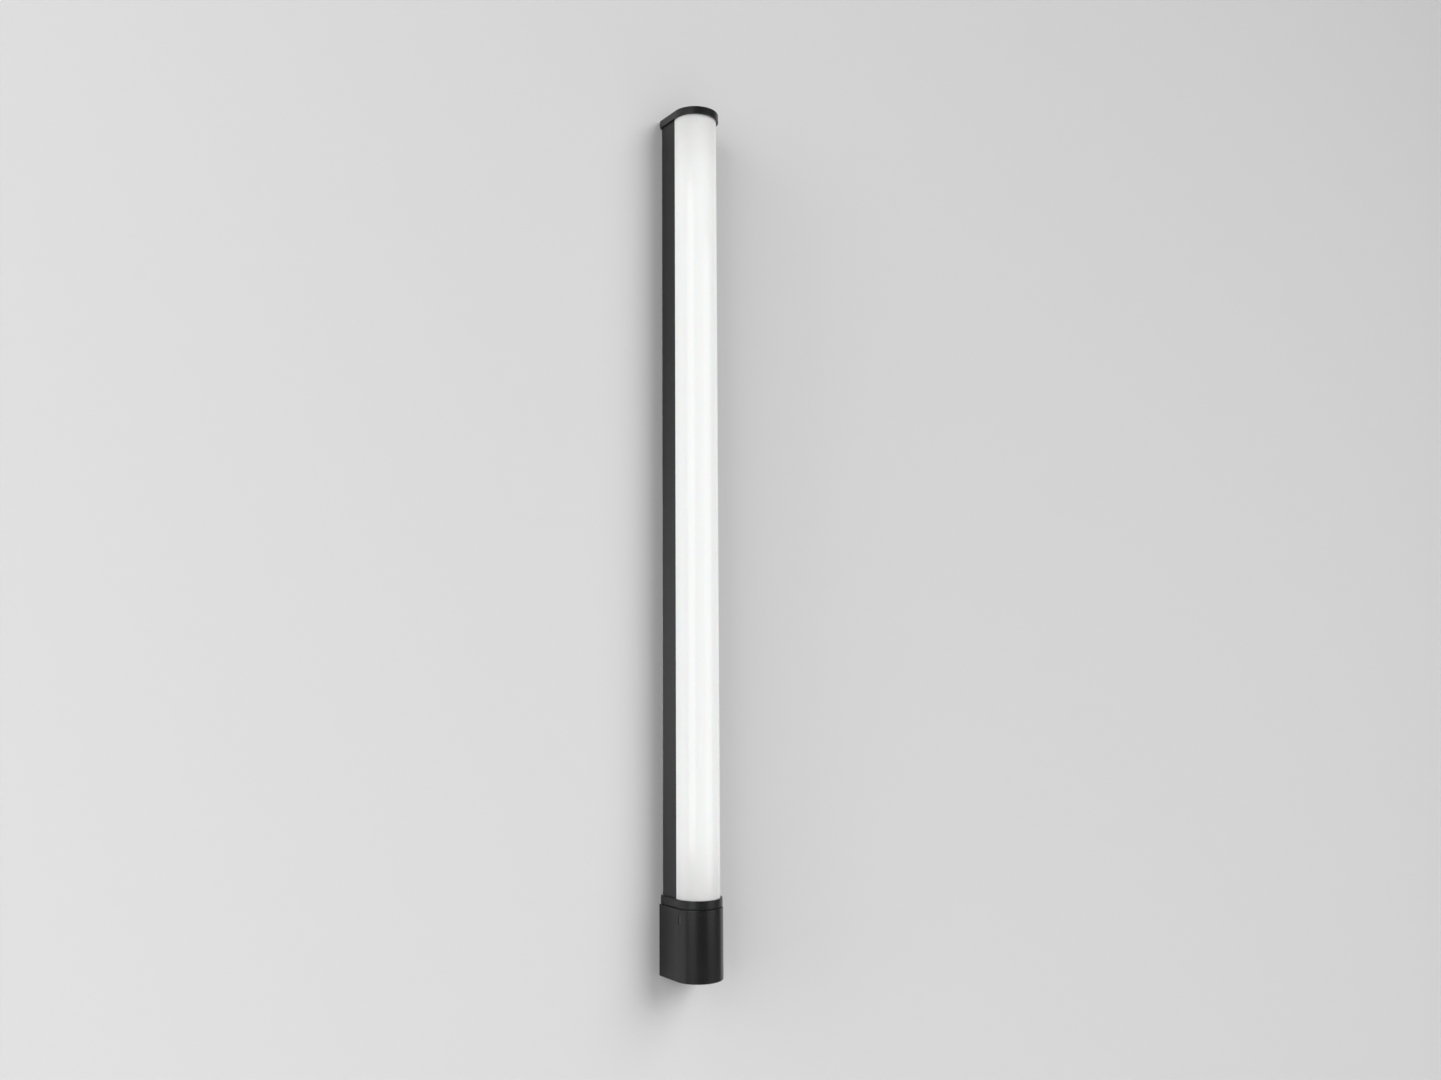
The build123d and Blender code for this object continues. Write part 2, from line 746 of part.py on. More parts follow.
# ---- Terminal block: three poles, each a square brass barrel with two headless screws --
pole_spots = [(index - (pole_count - 1) / 2) * pole_pitch for index in range(pole_count)]
with BuildPart() as terminal_block:
    with BuildSketch(Plane.XZ.offset(block_seat)):
        with Locations((0, block_height)):
            RectangleRounded(block_width, block_length, block_edge)
    extrude(amount=block_depth)
    with BuildSketch(Plane.XY.offset(block_height - block_length / 2)):
        with Locations(*[(x, -barrel_depth) for x in pole_spots]):
            Rectangle(2 * (barrel_half + barrel_fit), 2 * (barrel_half + barrel_fit))
    extrude(amount=block_length, mode=Mode.SUBTRACT)
    with Locations(Plane.XZ.offset(block_front)):
        with Locations((0, block_height)):
            with GridLocations(pole_pitch, clamp_pitch, pole_count, 2):
                Hole(clamp_screw_radius + well_fit, depth=block_front - barrel_depth)
            with GridLocations(pole_pitch, pole_pitch, 2, 1):
                CounterBoreHole(
                    small_screw_radius + well_fit,
                    small_screw_head + well_fit,
                    block_recess,
                    block_depth,
                )
terminal_block.part.label = "terminal_block"
export_step(terminal_block.part, "parts/terminal_block.step")

with BuildPart() as terminal_barrels:
    with BuildSketch(Plane.XY.offset(block_height - barrel_length / 2)):
        with Locations(*[(x, -barrel_depth) for x in pole_spots]):
            Rectangle(2 * barrel_half, 2 * barrel_half)
            Circle(barrel_bore, mode=Mode.SUBTRACT)
    extrude(amount=barrel_length)
    with Locations(Plane.XZ.offset(barrel_depth + barrel_half)):
        with Locations((0, block_height)):
            with GridLocations(pole_pitch, clamp_pitch, pole_count, 2):
                Hole(clamp_screw_radius + thread_fit, depth=barrel_half)
terminal_barrels.part.label = "terminal_barrels"
export_step(terminal_barrels.part, "parts/terminal_barrels.step")

with BuildPart() as terminal_screws:
    with BuildSketch(Plane.XZ.offset(barrel_depth + clamp_screw_reach)):
        with Locations((0, block_height)):
            with GridLocations(pole_pitch, clamp_pitch, pole_count, 2):
                Circle(clamp_screw_radius)
    extrude(amount=barrel_half - clamp_screw_reach + clamp_screw_stand)
terminal_screws.part.label = "terminal_screws"
export_step(terminal_screws.part, "parts/terminal_screws.step")

block_screw_seat = block_front - block_recess
block_screw = pan_screw(
    small_screw_radius,
    block_screw_seat - base_back,
    small_screw_head,
    small_screw_head_height,
)
with BuildPart() as terminal_block_screws:
    with Locations(Plane.XZ.offset(block_screw_seat)):
        with Locations((0, block_height)):
            with GridLocations(pole_pitch, pole_pitch, 2, 1):
                add(block_screw)
terminal_block_screws.part.label = "terminal_block_screws"
export_step(terminal_block_screws.part, "parts/terminal_block_screws.step")

# ---- Earth tag: a crimped ring on the slot's floor, under its own screw ----------------
tag_barrel_top = tag_level - tag_barrel_drop
tag_barrel_bottom = tag_barrel_top - tag_barrel_length
tag_wire_depth = bay_floor + tag_barrel_radius
with BuildPart() as earth_tag:
    with BuildSketch(Plane.XZ.offset(bay_floor)):
        with Locations((0, tag_level)):
            Circle(tag_radius)
        with Locations((0, (tag_level + tag_barrel_bottom) / 2)):
            Rectangle(tag_neck, tag_level - tag_barrel_bottom)
        with Locations((0, tag_level)):
            Circle(base_screw_radius + pass_fit, mode=Mode.SUBTRACT)
    extrude(amount=tag_thickness)
    with BuildSketch(Plane.XY.offset(tag_barrel_bottom)):
        with Locations((0, -tag_wire_depth)):
            Circle(tag_barrel_radius)
    extrude(amount=tag_barrel_length)
    with Locations(facing_down(tag_barrel_bottom)):
        with Locations((0, tag_wire_depth)):
            Hole(wire_radius + thread_fit, depth=tag_barrel_length)
earth_tag.part.label = "earth_tag"
export_step(earth_tag.part, "parts/earth_tag.step")

tag_screw = pan_screw(
    base_screw_radius,
    tag_thickness + slot_floor + screw_past,
    base_screw_head,
    base_screw_head_height,
)
with BuildPart() as earth_screw:
    with Locations(Plane.XZ.offset(bay_floor + tag_thickness)):
        with Locations((0, tag_level)):
            add(tag_screw)
earth_screw.part.label = "earth_screw"
export_step(earth_screw.part, "parts/earth_screw.step")

# ---- Wires: supply from the terminal block to the driver and the tag, and out to the LEDs
block_top = block_height + block_length / 2
wire_start = block_height + 1.0
output_end = driver_top - entry_reach + 2.0
wire_routes = {
    "live_wire": (
        wire_radius,
        [
            at(pole_spots[0], barrel_depth, wire_start),
            at(pole_spots[0], barrel_depth, block_top + 5.0),
            at(-input_pitch / 2, entry_depth, shelf_bottom - 2.0),
            at(-input_pitch / 2, entry_depth, driver_bottom + entry_reach - 2.0),
        ],
    ),
    "neutral_wire": (
        wire_radius,
        [
            at(pole_spots[-1], barrel_depth, wire_start),
            at(pole_spots[-1], barrel_depth, block_top + 5.0),
            at(input_pitch / 2, entry_depth, shelf_bottom - 2.0),
            at(input_pitch / 2, entry_depth, driver_bottom + entry_reach - 2.0),
        ],
    ),
    "earth_wire": (
        wire_radius,
        [
            at(0, barrel_depth, wire_start),
            at(0, barrel_depth, profile_bottom + 1.5),
            at(0, tag_wire_depth, tag_barrel_bottom - 4.5),
            at(0, tag_wire_depth, tag_barrel_top - 1.0),
        ],
    ),
    "led_wire_plus": (
        led_wire_radius,
        [
            at(output_pitch / 2, entry_depth, output_end),
            at(output_pitch / 2, entry_depth, driver_top + 6.0),
            at(wire_slot_x, web_depth, wire_slot_level - 3.0),
            at(wire_slot_x - 1.2, plug_wire_depth, wire_slot_level + 6.0),
            at(plug_holes[0][0], plug_wire_depth, plug_bottom - 6.0),
            at(plug_holes[0][0], plug_wire_depth, plug_bottom + plug_reach - 0.5),
        ],
    ),
    "led_wire_minus": (
        led_wire_radius,
        [
            at(-output_pitch / 2, entry_depth, output_end),
            at(-output_pitch / 2, entry_depth, driver_top + 7.0),
            at(wire_slot_x + 0.6, web_depth, wire_slot_level + 3.0),
            at(wire_slot_x - 0.7, plug_wire_depth, wire_slot_level + 12.0),
            at(plug_holes[1][0], plug_wire_depth, plug_bottom - 4.0),
            at(plug_holes[1][0], plug_wire_depth, plug_bottom + plug_reach - 0.5),
        ],
    ),
}
for name, (radius, points) in wire_routes.items():
    radii = bend_radii(points)
    with BuildPart() as wire:
        with BuildLine() as route:
            FilletPolyline(*points, radius=radii)
        with BuildSketch(Plane(origin=route.line @ 0, z_dir=route.line % 0)):
            Circle(radius)
        sweep()
    wire.part.label = name
    export_step(wire.part, f"parts/{name}.step")

# ---- Catches: stainless leaf springs on the cheeks, their nibs in the cover's slits ----
nib_back = slit_back + catch_fit
nib_front = slit_front - catch_fit
nib_tip = sqrt(cover_half**2 - (nib_front - side_depth) ** 2) - nib_inset
with BuildPart() as catch_right:
    with BuildSketch(Plane.XY.offset(catch_low)):
        with BuildLine():
            FilletPolyline(
                (cheek_outside + catch_thickness, -catch_back),
                (cheek_outside + catch_thickness, -catch_bend),
                (cover_inside - catch_inset, -nib_back),
                (nib_tip, -nib_back),
                (nib_tip, -nib_front),
                (nib_tip - nib_tail, -nib_front),
                radius=catch_bend_radius,
            )
            offset(amount=catch_thickness, side=Side.RIGHT)
        make_face()
    extrude(amount=slit_length - 2 * catch_fit)
    with BuildSketch(Plane.YZ.offset(cheek_outside)):
        with Locations(*[(-depth, slit_level) for depth in peg_spots]):
            Circle(peg_radius + rubber_fit)
    extrude(amount=catch_thickness, mode=Mode.SUBTRACT)
catch_right.part.label = "catch_right"
export_step(catch_right.part, "parts/catch_right.step")

with BuildPart() as catch_left:
    mirror(catch_right.part, about=Plane.YZ)
catch_left.part.label = "catch_left"
export_step(catch_left.part, "parts/catch_left.step")

# ---- Housing cover: a D-shaped cup, open at the top and towards the wall ---------------
with BuildPart() as housing_cover:
    with BuildSketch(Plane.XY.offset(lower_end)):
        d_shape(cover_half, wall_gap)
    extrude(amount=cover_height)
    fillet(housing_cover.faces().sort_by(Axis.Z)[-1].edges().sort_by(Axis.Y)[:-1], cover_edge)
    fillet(housing_cover.faces().sort_by(Axis.Z)[0].edges().sort_by(Axis.Y)[:-1], cover_edge)
    with BuildSketch(Plane.XY.offset(cover_floor)):
        d_shape(cover_inside, 0)
    extrude(amount=cover_height, mode=Mode.SUBTRACT)
    with BuildSketch(Plane.XY.offset(cover_floor)):
        span(rib_inside, cover_inside, rib_back, rib_front)
        span(-cover_inside, -rib_inside, rib_back, rib_front)
    extrude(amount=shelf_bottom - cover_floor - shadow_gap)
    with Locations(at(0, (slit_back + slit_front) / 2, slit_level)):
        Box(2 * cover_half + shadow_gap, slit_width, slit_length, mode=Mode.SUBTRACT)
housing_cover.part.label = "housing_cover"
export_step(housing_cover.part, "parts/housing_cover.step")
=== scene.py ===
from math import cos, pi, radians, sin

import bmesh
import bpy
from mathutils import Matrix, Vector


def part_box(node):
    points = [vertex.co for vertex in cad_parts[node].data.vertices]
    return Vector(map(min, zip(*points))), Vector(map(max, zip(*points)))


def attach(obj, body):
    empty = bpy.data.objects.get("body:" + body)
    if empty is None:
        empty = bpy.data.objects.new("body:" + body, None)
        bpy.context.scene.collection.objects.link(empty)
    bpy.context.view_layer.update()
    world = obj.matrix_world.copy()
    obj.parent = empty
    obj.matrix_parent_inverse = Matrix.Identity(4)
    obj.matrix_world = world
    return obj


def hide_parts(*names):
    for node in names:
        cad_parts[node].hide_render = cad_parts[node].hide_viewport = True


# The look of an upright tube wall light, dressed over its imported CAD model. Metres throughout,
# with +X to the right, +Y into the wall and +Z up. The sections follow the order of assembly.
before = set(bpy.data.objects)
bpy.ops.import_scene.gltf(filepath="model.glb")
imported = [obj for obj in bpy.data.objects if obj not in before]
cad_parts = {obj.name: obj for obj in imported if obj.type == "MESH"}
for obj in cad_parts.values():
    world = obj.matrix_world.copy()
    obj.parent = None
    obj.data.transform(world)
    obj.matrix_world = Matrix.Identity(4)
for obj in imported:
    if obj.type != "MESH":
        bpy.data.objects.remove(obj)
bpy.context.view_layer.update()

# ---- Wall clip -------------------------------------------------------------------------
# The hanger that is screwed to the wall first. Injection-moulded glass-filled nylon, with two
# hooks that snap into the slot in the channel's back.


def node(tree, kind, inputs=None, **settings):
    """One node of a tree; an input is a value, or the socket that feeds it."""
    made = tree.nodes.new(kind)
    for name, value in settings.items():
        setattr(made, name, value)
    for name, value in (inputs or {}).items():
        if isinstance(value, bpy.types.NodeSocket):
            tree.links.new(value, made.inputs[name])
        else:
            made.inputs[name].default_value = value
    return made


def worked(tree, operation, first, second=0.0):
    """The result of one sum, whose sides are values or sockets."""
    return node(tree, "ShaderNodeMath", {0: first, 1: second}, operation=operation).outputs[0]


def new_finish(name, color, roughness, **sockets):
    """A material with one Principled shader, whose even values sit on its own sockets."""
    material = bpy.data.materials.new(name)
    material.use_nodes = True
    tree = material.node_tree
    shader = tree.nodes["Principled BSDF"]
    shader.inputs["Base Color"].default_value = (*color, 1)
    shader.inputs["Roughness"].default_value = roughness
    for socket, value in sockets.items():
        shader.inputs[socket.replace("_", " ")].default_value = value
    return material, tree, shader


def speckle(tree, size, detail=2.0, stretch=(1, 1, 1)):
    """Noise with features of the given size in metres, fixed to the piece."""
    place = node(tree, "ShaderNodeTexCoord").outputs["Object"]
    turned = node(tree, "ShaderNodeMapping", {"Vector": place, "Scale": stretch})
    return node(
        tree,
        "ShaderNodeTexNoise",
        {"Vector": turned.outputs[0], "Scale": 1 / size, "Detail": detail, "Roughness": 0.6},
    ).outputs["Fac"]


def ranged(tree, value, low, high, at=(0.3, 0.7), **settings):
    """A pattern spread between two values, as it goes from one level to another."""
    return node(
        tree,
        "ShaderNodeMapRange",
        {"Value": value, "From Min": at[0], "From Max": at[1], "To Min": low, "To Max": high},
        **settings,
    ).outputs["Result"]


def tinted(tree, value, dark, light):
    """A pattern that runs from one colour to another; each end may also be a socket."""
    ends = [end if isinstance(end, bpy.types.NodeSocket) else (*end, 1) for end in (dark, light)]
    # A Mix node keeps its colour inputs in places 6 and 7, and its colour output in place 2.
    inputs = {"Factor": value, 6: ends[0], 7: ends[1]}
    return node(tree, "ShaderNodeMix", inputs, data_type="RGBA").outputs[2]


def edge_wear(tree, width):
    """1 on edges that handling has polished, 0 on the flats."""
    worn_cosine, flat_cosine = 0.86, 0.99
    rounded = node(tree, "ShaderNodeBevel", {"Radius": width}, samples=4).outputs[0]
    flat = node(tree, "ShaderNodeNewGeometry").outputs["Normal"]
    alike = node(tree, "ShaderNodeVectorMath", {0: rounded, 1: flat}, operation="DOT_PRODUCT")
    return ranged(tree, alike.outputs["Value"], 1.0, 0.0, at=(worn_cosine, flat_cosine))


def bump(tree, shader, pattern, depth, broken=0.0002):
    """Relief of the given depth in metres, over edges that are broken by a small radius."""
    soft = node(tree, "ShaderNodeBevel", {"Radius": broken}, samples=4).outputs[0]
    raised = node(
        tree,
        "ShaderNodeBump",
        {"Height": pattern, "Distance": depth, "Strength": 1.0, "Normal": soft},
    )
    tree.links.new(raised.outputs[0], shader.inputs["Normal"])


def moulded(name, color, worn, roughness, grain=0.0006, depth=0.00004, mottle=0.045, **sockets):
    """Moulded plastic: spark-eroded grain, faint flow marks and slightly polished edges."""
    flow_size, worn_width, patch_size, glossiest = 0.05, 0.0005, 0.004, 0.2
    material, tree, shader = new_finish(name, color, roughness, **sockets)
    flow = speckle(tree, flow_size, 3.0)
    body = tinted(tree, ranged(tree, flow, 0, 1), [c * 0.88 for c in color], color)
    patches = ranged(tree, speckle(tree, patch_size), 0.25, 0.9)
    wear = worked(tree, "MULTIPLY", edge_wear(tree, worn_width), patches)
    tree.links.new(tinted(tree, wear, body, worn), shader.inputs["Base Color"])
    dull = ranged(tree, flow, roughness - mottle, roughness + mottle)
    polished = worked(tree, "SUBTRACT", dull, wear)
    tree.links.new(worked(tree, "MAXIMUM", polished, glossiest), shader.inputs["Roughness"])
    bump(tree, shader, speckle(tree, grain, 3.0), depth)
    return material


def linked(name, data):
    """A new object of a mesh, lamp or camera, in the scene."""
    made = bpy.data.objects.new(name, data)
    bpy.context.scene.collection.objects.link(made)
    return made


def evaluated_mesh(draft):
    """What a draft's modifiers make of it."""
    graph = bpy.context.evaluated_depsgraph_get()
    return bpy.data.meshes.new_from_object(draft.evaluated_get(graph))


def plain_mesh(draft, name, turn=50):
    """The draft with its modifiers applied; its flats stay flat beside its rounded edges."""
    mesh = evaluated_mesh(draft)
    bpy.data.objects.remove(draft)
    mesh.shade_smooth()
    mesh.set_sharp_from_angle(angle=radians(turn))
    piece = linked(name, mesh)
    flats = piece.modifiers.new("flats", "WEIGHTED_NORMAL")
    flats.mode = "FACE_AREA_WITH_ANGLE"
    flats.keep_sharp = True
    mesh = evaluated_mesh(piece)
    piece.modifiers.clear()
    piece.data = mesh
    return piece


def rounded_copy(cad_node, name, width, segments=2, turn=30, clamped=False):
    """A CAD solid with its doubles merged, its flats made whole and its edges rounded."""
    weld_distance, level_angle = 2e-6, radians(0.4)
    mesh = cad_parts[cad_node].data.copy()
    mesh.materials.clear()
    shape = bmesh.new()
    shape.from_mesh(mesh)
    bmesh.ops.remove_doubles(shape, verts=shape.verts, dist=weld_distance)
    bmesh.ops.dissolve_limit(
        shape, angle_limit=level_angle, verts=shape.verts, edges=shape.edges
    )
    shape.to_mesh(mesh)
    shape.free()
    draft = linked(name + "_draft", mesh)
    if width:
        edges = draft.modifiers.new("edges", "BEVEL")
        edges.width = width
        edges.segments = segments
        edges.limit_method = "ANGLE"
        edges.angle_limit = radians(turn)
        edges.use_clamp_overlap = clamped
    return plain_mesh(draft, name)


def dress(piece, material, body, cad_node):
    """Gives a piece its finish, unless its nodes did, its body and the CAD node it replaces."""
    if material:
        piece.data.materials.clear()
        piece.data.materials.append(material)
    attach(piece, body)
    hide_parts(cad_node)


nylon = moulded("clip_nylon", (0.04, 0.04, 0.042), (0.09, 0.09, 0.09), 0.55, grain=0.0009)
clip = rounded_copy("wall_clip", "wall_clip_moulding", 0.0003)
dress(clip, nylon, "light", "wall_clip")

# ---- Base plate ------------------------------------------------------------------------
# The wall base that carries the channel. Injection-moulded black polycarbonate, screwed to
# the wall, with a D-shaped shelf, two bracing cheeks and pegs for the cover's catches.
base_black = moulded("base_plastic", (0.014, 0.014, 0.015), (0.05, 0.05, 0.052), 0.45)
base = rounded_copy("base_plate", "base_plate_moulding", 0.0003, clamped=True)
dress(base, base_black, "light", "base_plate")

# ---- Cable grommet ---------------------------------------------------------------------
# The seal round the supply cable where it leaves the wall. Moulded rubber, pushed into the
# base plate's hole until its groove grips the edge.
rubber = moulded(
    "grommet_rubber", (0.02, 0.02, 0.02), (0.035, 0.035, 0.035), 0.62, grain=0.0012
)
grommet = rounded_copy("cable_grommet", "cable_grommet_rubber", 0.0004)
dress(grommet, rubber, "light", "cable_grommet")

# ---- Terminal block --------------------------------------------------------------------
# Three poles for the supply. Moulded natural nylon round square brass barrels, each with two
# headless clamp screws, and fixed to the base's posts by two pan-head screws.
terminal_nylon = moulded(
    "terminal_nylon", (0.75, 0.75, 0.72), (0.85, 0.85, 0.83), 0.42, grain=0.0008,
    Subsurface_Weight=0.15, Subsurface_Scale=0.002,
)
block = rounded_copy("terminal_block", "terminal_block_moulding", 0.0003)
dress(block, terminal_nylon, "light", "terminal_block")


def metal(name, color, roughness, brushed=(1, 1, 0.05), depth=0.000004):
    """Bare metal with drawing or turning lines, darker where fingers have touched it."""
    line_width, touch_size, brightest = 0.0004, 0.006, 0.18
    material, tree, shader = new_finish(name, color, roughness, Metallic=1.0)
    lines = speckle(tree, line_width, 2.0, brushed)
    touched = speckle(tree, touch_size, 3.0)
    base_color = tinted(tree, ranged(tree, touched, 0, 1), [c * 0.82 for c in color], color)
    tree.links.new(base_color, shader.inputs["Base Color"])
    smeared = ranged(tree, touched, roughness + 0.08, roughness - 0.05)
    tree.links.new(worked(tree, "MAXIMUM", smeared, brightest), shader.inputs["Roughness"])
    bump(tree, shader, lines, depth)
    return material


brass = metal("terminal_brass", (0.75, 0.6, 0.3), 0.3)
barrels = rounded_copy("terminal_barrels", "terminal_barrel_set", 0.00015)
dress(barrels, brass, "light", "terminal_barrels")

steel = metal("screw_steel", (0.55, 0.55, 0.54), 0.32, (1, 1, 1))


def tree_with(name, sockets, output):
    """An empty Geometry Nodes tree with named inputs, and the sockets that read them."""
    tree = bpy.data.node_groups.new(name, "GeometryNodeTree")
    for label, kind, value in sockets:
        made = tree.interface.new_socket(label, in_out="INPUT", socket_type=kind)
        if value is not None:
            made.default_value = value
    tree.interface.new_socket(output, in_out="OUTPUT", socket_type="NodeSocketGeometry")
    return tree, node(tree, "NodeGroupInput").outputs


def screw_tree(name):
    """Geometry Nodes for screws: one head, recess and shank, set on every marked point."""
    tree, given = tree_with(
        name,
        [
            ("Seats", "NodeSocketGeometry", None),
            ("Head Radius", "NodeSocketFloat", 0.0026),
            ("Head Height", "NodeSocketFloat", 0.0017),
            ("Head Sink", "NodeSocketFloat", 0.0),
            ("Shank Radius", "NodeSocketFloat", 0.0013),
            ("Shank Length", "NodeSocketFloat", 0.004),
            ("Recess Length", "NodeSocketFloat", 0.003),
            ("Recess Width", "NodeSocketFloat", 0.0006),
            ("Recess Depth", "NodeSocketFloat", 0.001),
            ("Cross", "NodeSocketBool", True),
            ("Turn Seed", "NodeSocketInt", 7),
            ("Finish", "NodeSocketMaterial", None),
        ],
        "Screws",
    )
    facets, rim_share, crown_taper, tip_taper, weld_distance = 40, 0.6, 0.84, 0.8, 1e-6

    def scaled(value, factor):
        return worked(tree, "MULTIPLY", value, factor)

    def raised(mesh, height):
        up = node(tree, "ShaderNodeCombineXYZ", {"Z": height}).outputs[0]
        return node(
            tree, "GeometryNodeTransform", {"Geometry": mesh, "Translation": up}
        ).outputs[0]

    def drum(lower, upper, depth, foot):
        """A round slice from one radius to another, with its foot at a height."""
        made = node(
            tree,
            "GeometryNodeMeshCone",
            {"Vertices": facets, "Radius Top": upper, "Radius Bottom": lower, "Depth": depth},
        )
        return raised(made.outputs["Mesh"], foot)

    rim_height = scaled(given["Head Height"], rim_share)
    rim = drum(given["Head Radius"], given["Head Radius"], rim_height, 0.0)
    crown = drum(
        given["Head Radius"],
        scaled(given["Head Radius"], crown_taper),
        scaled(given["Head Height"], 1 - rim_share),
        rim_height,
    )
    sunk = drum(
        given["Shank Radius"],
        given["Head Radius"],
        given["Head Sink"],
        scaled(given["Head Sink"], -1.0),
    )
    shank = drum(
        scaled(given["Shank Radius"], tip_taper),
        given["Shank Radius"],
        worked(tree, "SUBTRACT", given["Shank Length"], given["Head Sink"]),
        scaled(given["Shank Length"], -1.0),
    )
    solids = node(tree, "GeometryNodeJoinGeometry")
    for part in (shank, sunk, crown, rim):
        tree.links.new(part, solids.inputs[0])
    merged = node(
        tree,
        "GeometryNodeMergeByDistance",
        {"Geometry": solids.outputs[0], "Distance": weld_distance},
    )

    def blade(length, width):
        size = node(
            tree,
            "ShaderNodeCombineXYZ",
            {"X": length, "Y": width, "Z": scaled(given["Recess Depth"], 2.0)},
        )
        made = node(tree, "GeometryNodeMeshCube", {"Size": size.outputs[0]})
        return raised(made.outputs["Mesh"], given["Head Height"])

    along = blade(given["Recess Length"], given["Recess Width"])
    across = blade(given["Recess Width"], given["Recess Length"])
    both = node(tree, "GeometryNodeJoinGeometry")
    for part in (across, along):
        tree.links.new(part, both.inputs[0])
    cutter = node(
        tree,
        "GeometryNodeSwitch",
        {"Switch": given["Cross"], "False": along, "True": both.outputs[0]},
        input_type="GEOMETRY",
    )
    cut = node(tree, "GeometryNodeMeshBoolean", operation="DIFFERENCE", solver="EXACT")
    cut.inputs["Self Intersection"].default_value = True
    tree.links.new(merged.outputs[0], cut.inputs["Mesh 1"])
    tree.links.new(cutter.outputs[0], cut.inputs["Mesh 2"])
    facing = node(
        tree, "GeometryNodeInputNamedAttribute", {"Name": "facing"}, data_type="FLOAT_VECTOR"
    )
    stood = node(
        tree,
        "FunctionNodeAlignRotationToVector",
        {"Vector": facing.outputs["Attribute"]},
        axis="Z",
    )
    turn = node(
        tree,
        "FunctionNodeRandomValue",
        {"Max": 2 * pi, "Seed": given["Turn Seed"]},
        data_type="FLOAT",
    )
    spin = node(tree, "ShaderNodeCombineXYZ", {"Z": turn.outputs[1]})
    turned = node(
        tree,
        "FunctionNodeRotateRotation",
        {"Rotation": stood.outputs[0], "Rotate By": spin.outputs[0]},
        rotation_space="LOCAL",
    )
    placed = node(
        tree,
        "GeometryNodeInstanceOnPoints",
        {"Points": given["Seats"], "Instance": cut.outputs["Mesh"], "Rotation": turned.outputs[0]},
    )
    real = node(tree, "GeometryNodeRealizeInstances", {"Geometry": placed.outputs[0]})
    painted = node(
        tree,
        "GeometryNodeSetMaterial",
        {"Geometry": real.outputs[0], "Material": given["Finish"]},
    )
    node(tree, "NodeGroupOutput", {0: painted.outputs[0]})
    return tree


screw_maker = screw_tree("screw_maker")


def with_nodes(draft, tree, name, **values):
    """Runs a Geometry Nodes tree on a draft and keeps its result as a plain mesh."""
    maker = draft.modifiers.new("maker", "NODES")
    maker.node_group = tree
    named = {item.name: item.identifier for item in tree.interface.items_tree}
    for label, value in values.items():
        maker[named[label.replace("_", " ")]] = value
    return plain_mesh(draft, name)


def screw_set(name, seats, facing, cad_node, **sizes):
    """Steel screws at the given points, all facing one way, in place of a CAD node."""
    marks = bpy.data.meshes.new(name + "_seats")
    marks.from_pydata(seats, [], [])
    way = marks.attributes.new("facing", "FLOAT_VECTOR", "POINT")
    for mark in way.data:
        mark.vector = facing
    draft = linked(name + "_draft", marks)
    screws = with_nodes(draft, screw_maker, name, Finish=steel, **sizes)
    dress(screws, steel, "light", cad_node)


into_room = (0, -1, 0)
block_low, block_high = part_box("terminal_block")
block_middle = (block_low.z + block_high.z) / 2
low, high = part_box("terminal_screws")
pole_pitch, clamp_pitch, clamp_top = 0.011, 0.008, 0.0004
clamp_radius = (high.z - low.z - clamp_pitch) / 2
clamp_seats = [
    (pole * pole_pitch, low.y + clamp_top, block_middle + side * clamp_pitch / 2)
    for pole in (-1, 0, 1)
    for side in (-1, 1)
]
screw_set(
    "clamp_screws", clamp_seats, into_room, "terminal_screws",
    Head_Radius=clamp_radius, Head_Height=clamp_top, Shank_Radius=clamp_radius,
    Shank_Length=high.y - low.y - clamp_top, Recess_Length=0.004, Recess_Width=0.0006,
    Recess_Depth=0.0008, Cross=False, Turn_Seed=3,
)
small_head, small_head_height = 0.0026, 0.0017
small_screw = dict(Head_Radius=small_head, Head_Height=small_head_height, Shank_Radius=0.0013)
low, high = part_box("terminal_block_screws")
screw_set(
    "block_fixing_screws",
    [(side * pole_pitch / 2, low.y + small_head_height, block_middle) for side in (-1, 1)],
    into_room, "terminal_block_screws", Shank_Length=high.y - low.y - small_head_height,
    Turn_Seed=5, **small_screw,
)

# ---- Lower end cap ---------------------------------------------------------------------
# The cup that closes the channel's lower end. Moulded black polycarbonate with two bosses for
# the base screws, a gasket inside, and four flat-head screws into the channel's ports.
cap_black = moulded(
    "cap_plastic", (0.009, 0.009, 0.0095), (0.04, 0.04, 0.04), 0.3, grain=0.0004,
    depth=0.000008, mottle=0.015, Specular_IOR_Level=0.5,
)
channel_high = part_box("body_profile")[1]
channel_half = channel_high.x
side_depth = 0.038  # where the flat sides turn into the half-round front
sharpest = 0.00005


def d_ring(half, rear, level, inset=0.0, corner=sharpest, rear_inset=0.0):
    """The points of one D outline: a round front, flat sides and a flat back with corners."""
    front_steps, corner_steps = 72, 8
    reach = half - inset
    back = rear + rear_inset
    bend = max(corner - inset, sharpest)
    front = [pi * step / front_steps for step in range(front_steps + 1)]
    points = [(reach * cos(turn), -side_depth - reach * sin(turn), level) for turn in front]
    for side, start in ((-1, pi), (1, pi / 2)):
        for step in range(corner_steps + 1):
            turn = start - pi / 2 * step / corner_steps
            points.append(
                (side * (reach - bend) + bend * cos(turn), bend * sin(turn) - back - bend, level)
            )
    return points


def round_ring(x, y, radius, level):
    """The points of a level circle."""
    steps = 48
    turns = [2 * pi * step / steps for step in range(steps)]
    return [(x + radius * cos(turn), y + radius * sin(turn), level) for turn in turns]


def closed_shape(shape, name):
    """A draft object of a closed bmesh, with its faces turned outwards."""
    bmesh.ops.recalc_face_normals(shape, faces=shape.faces)
    mesh = bpy.data.meshes.new(name)
    shape.to_mesh(mesh)
    shape.free()
    return linked(name, mesh)


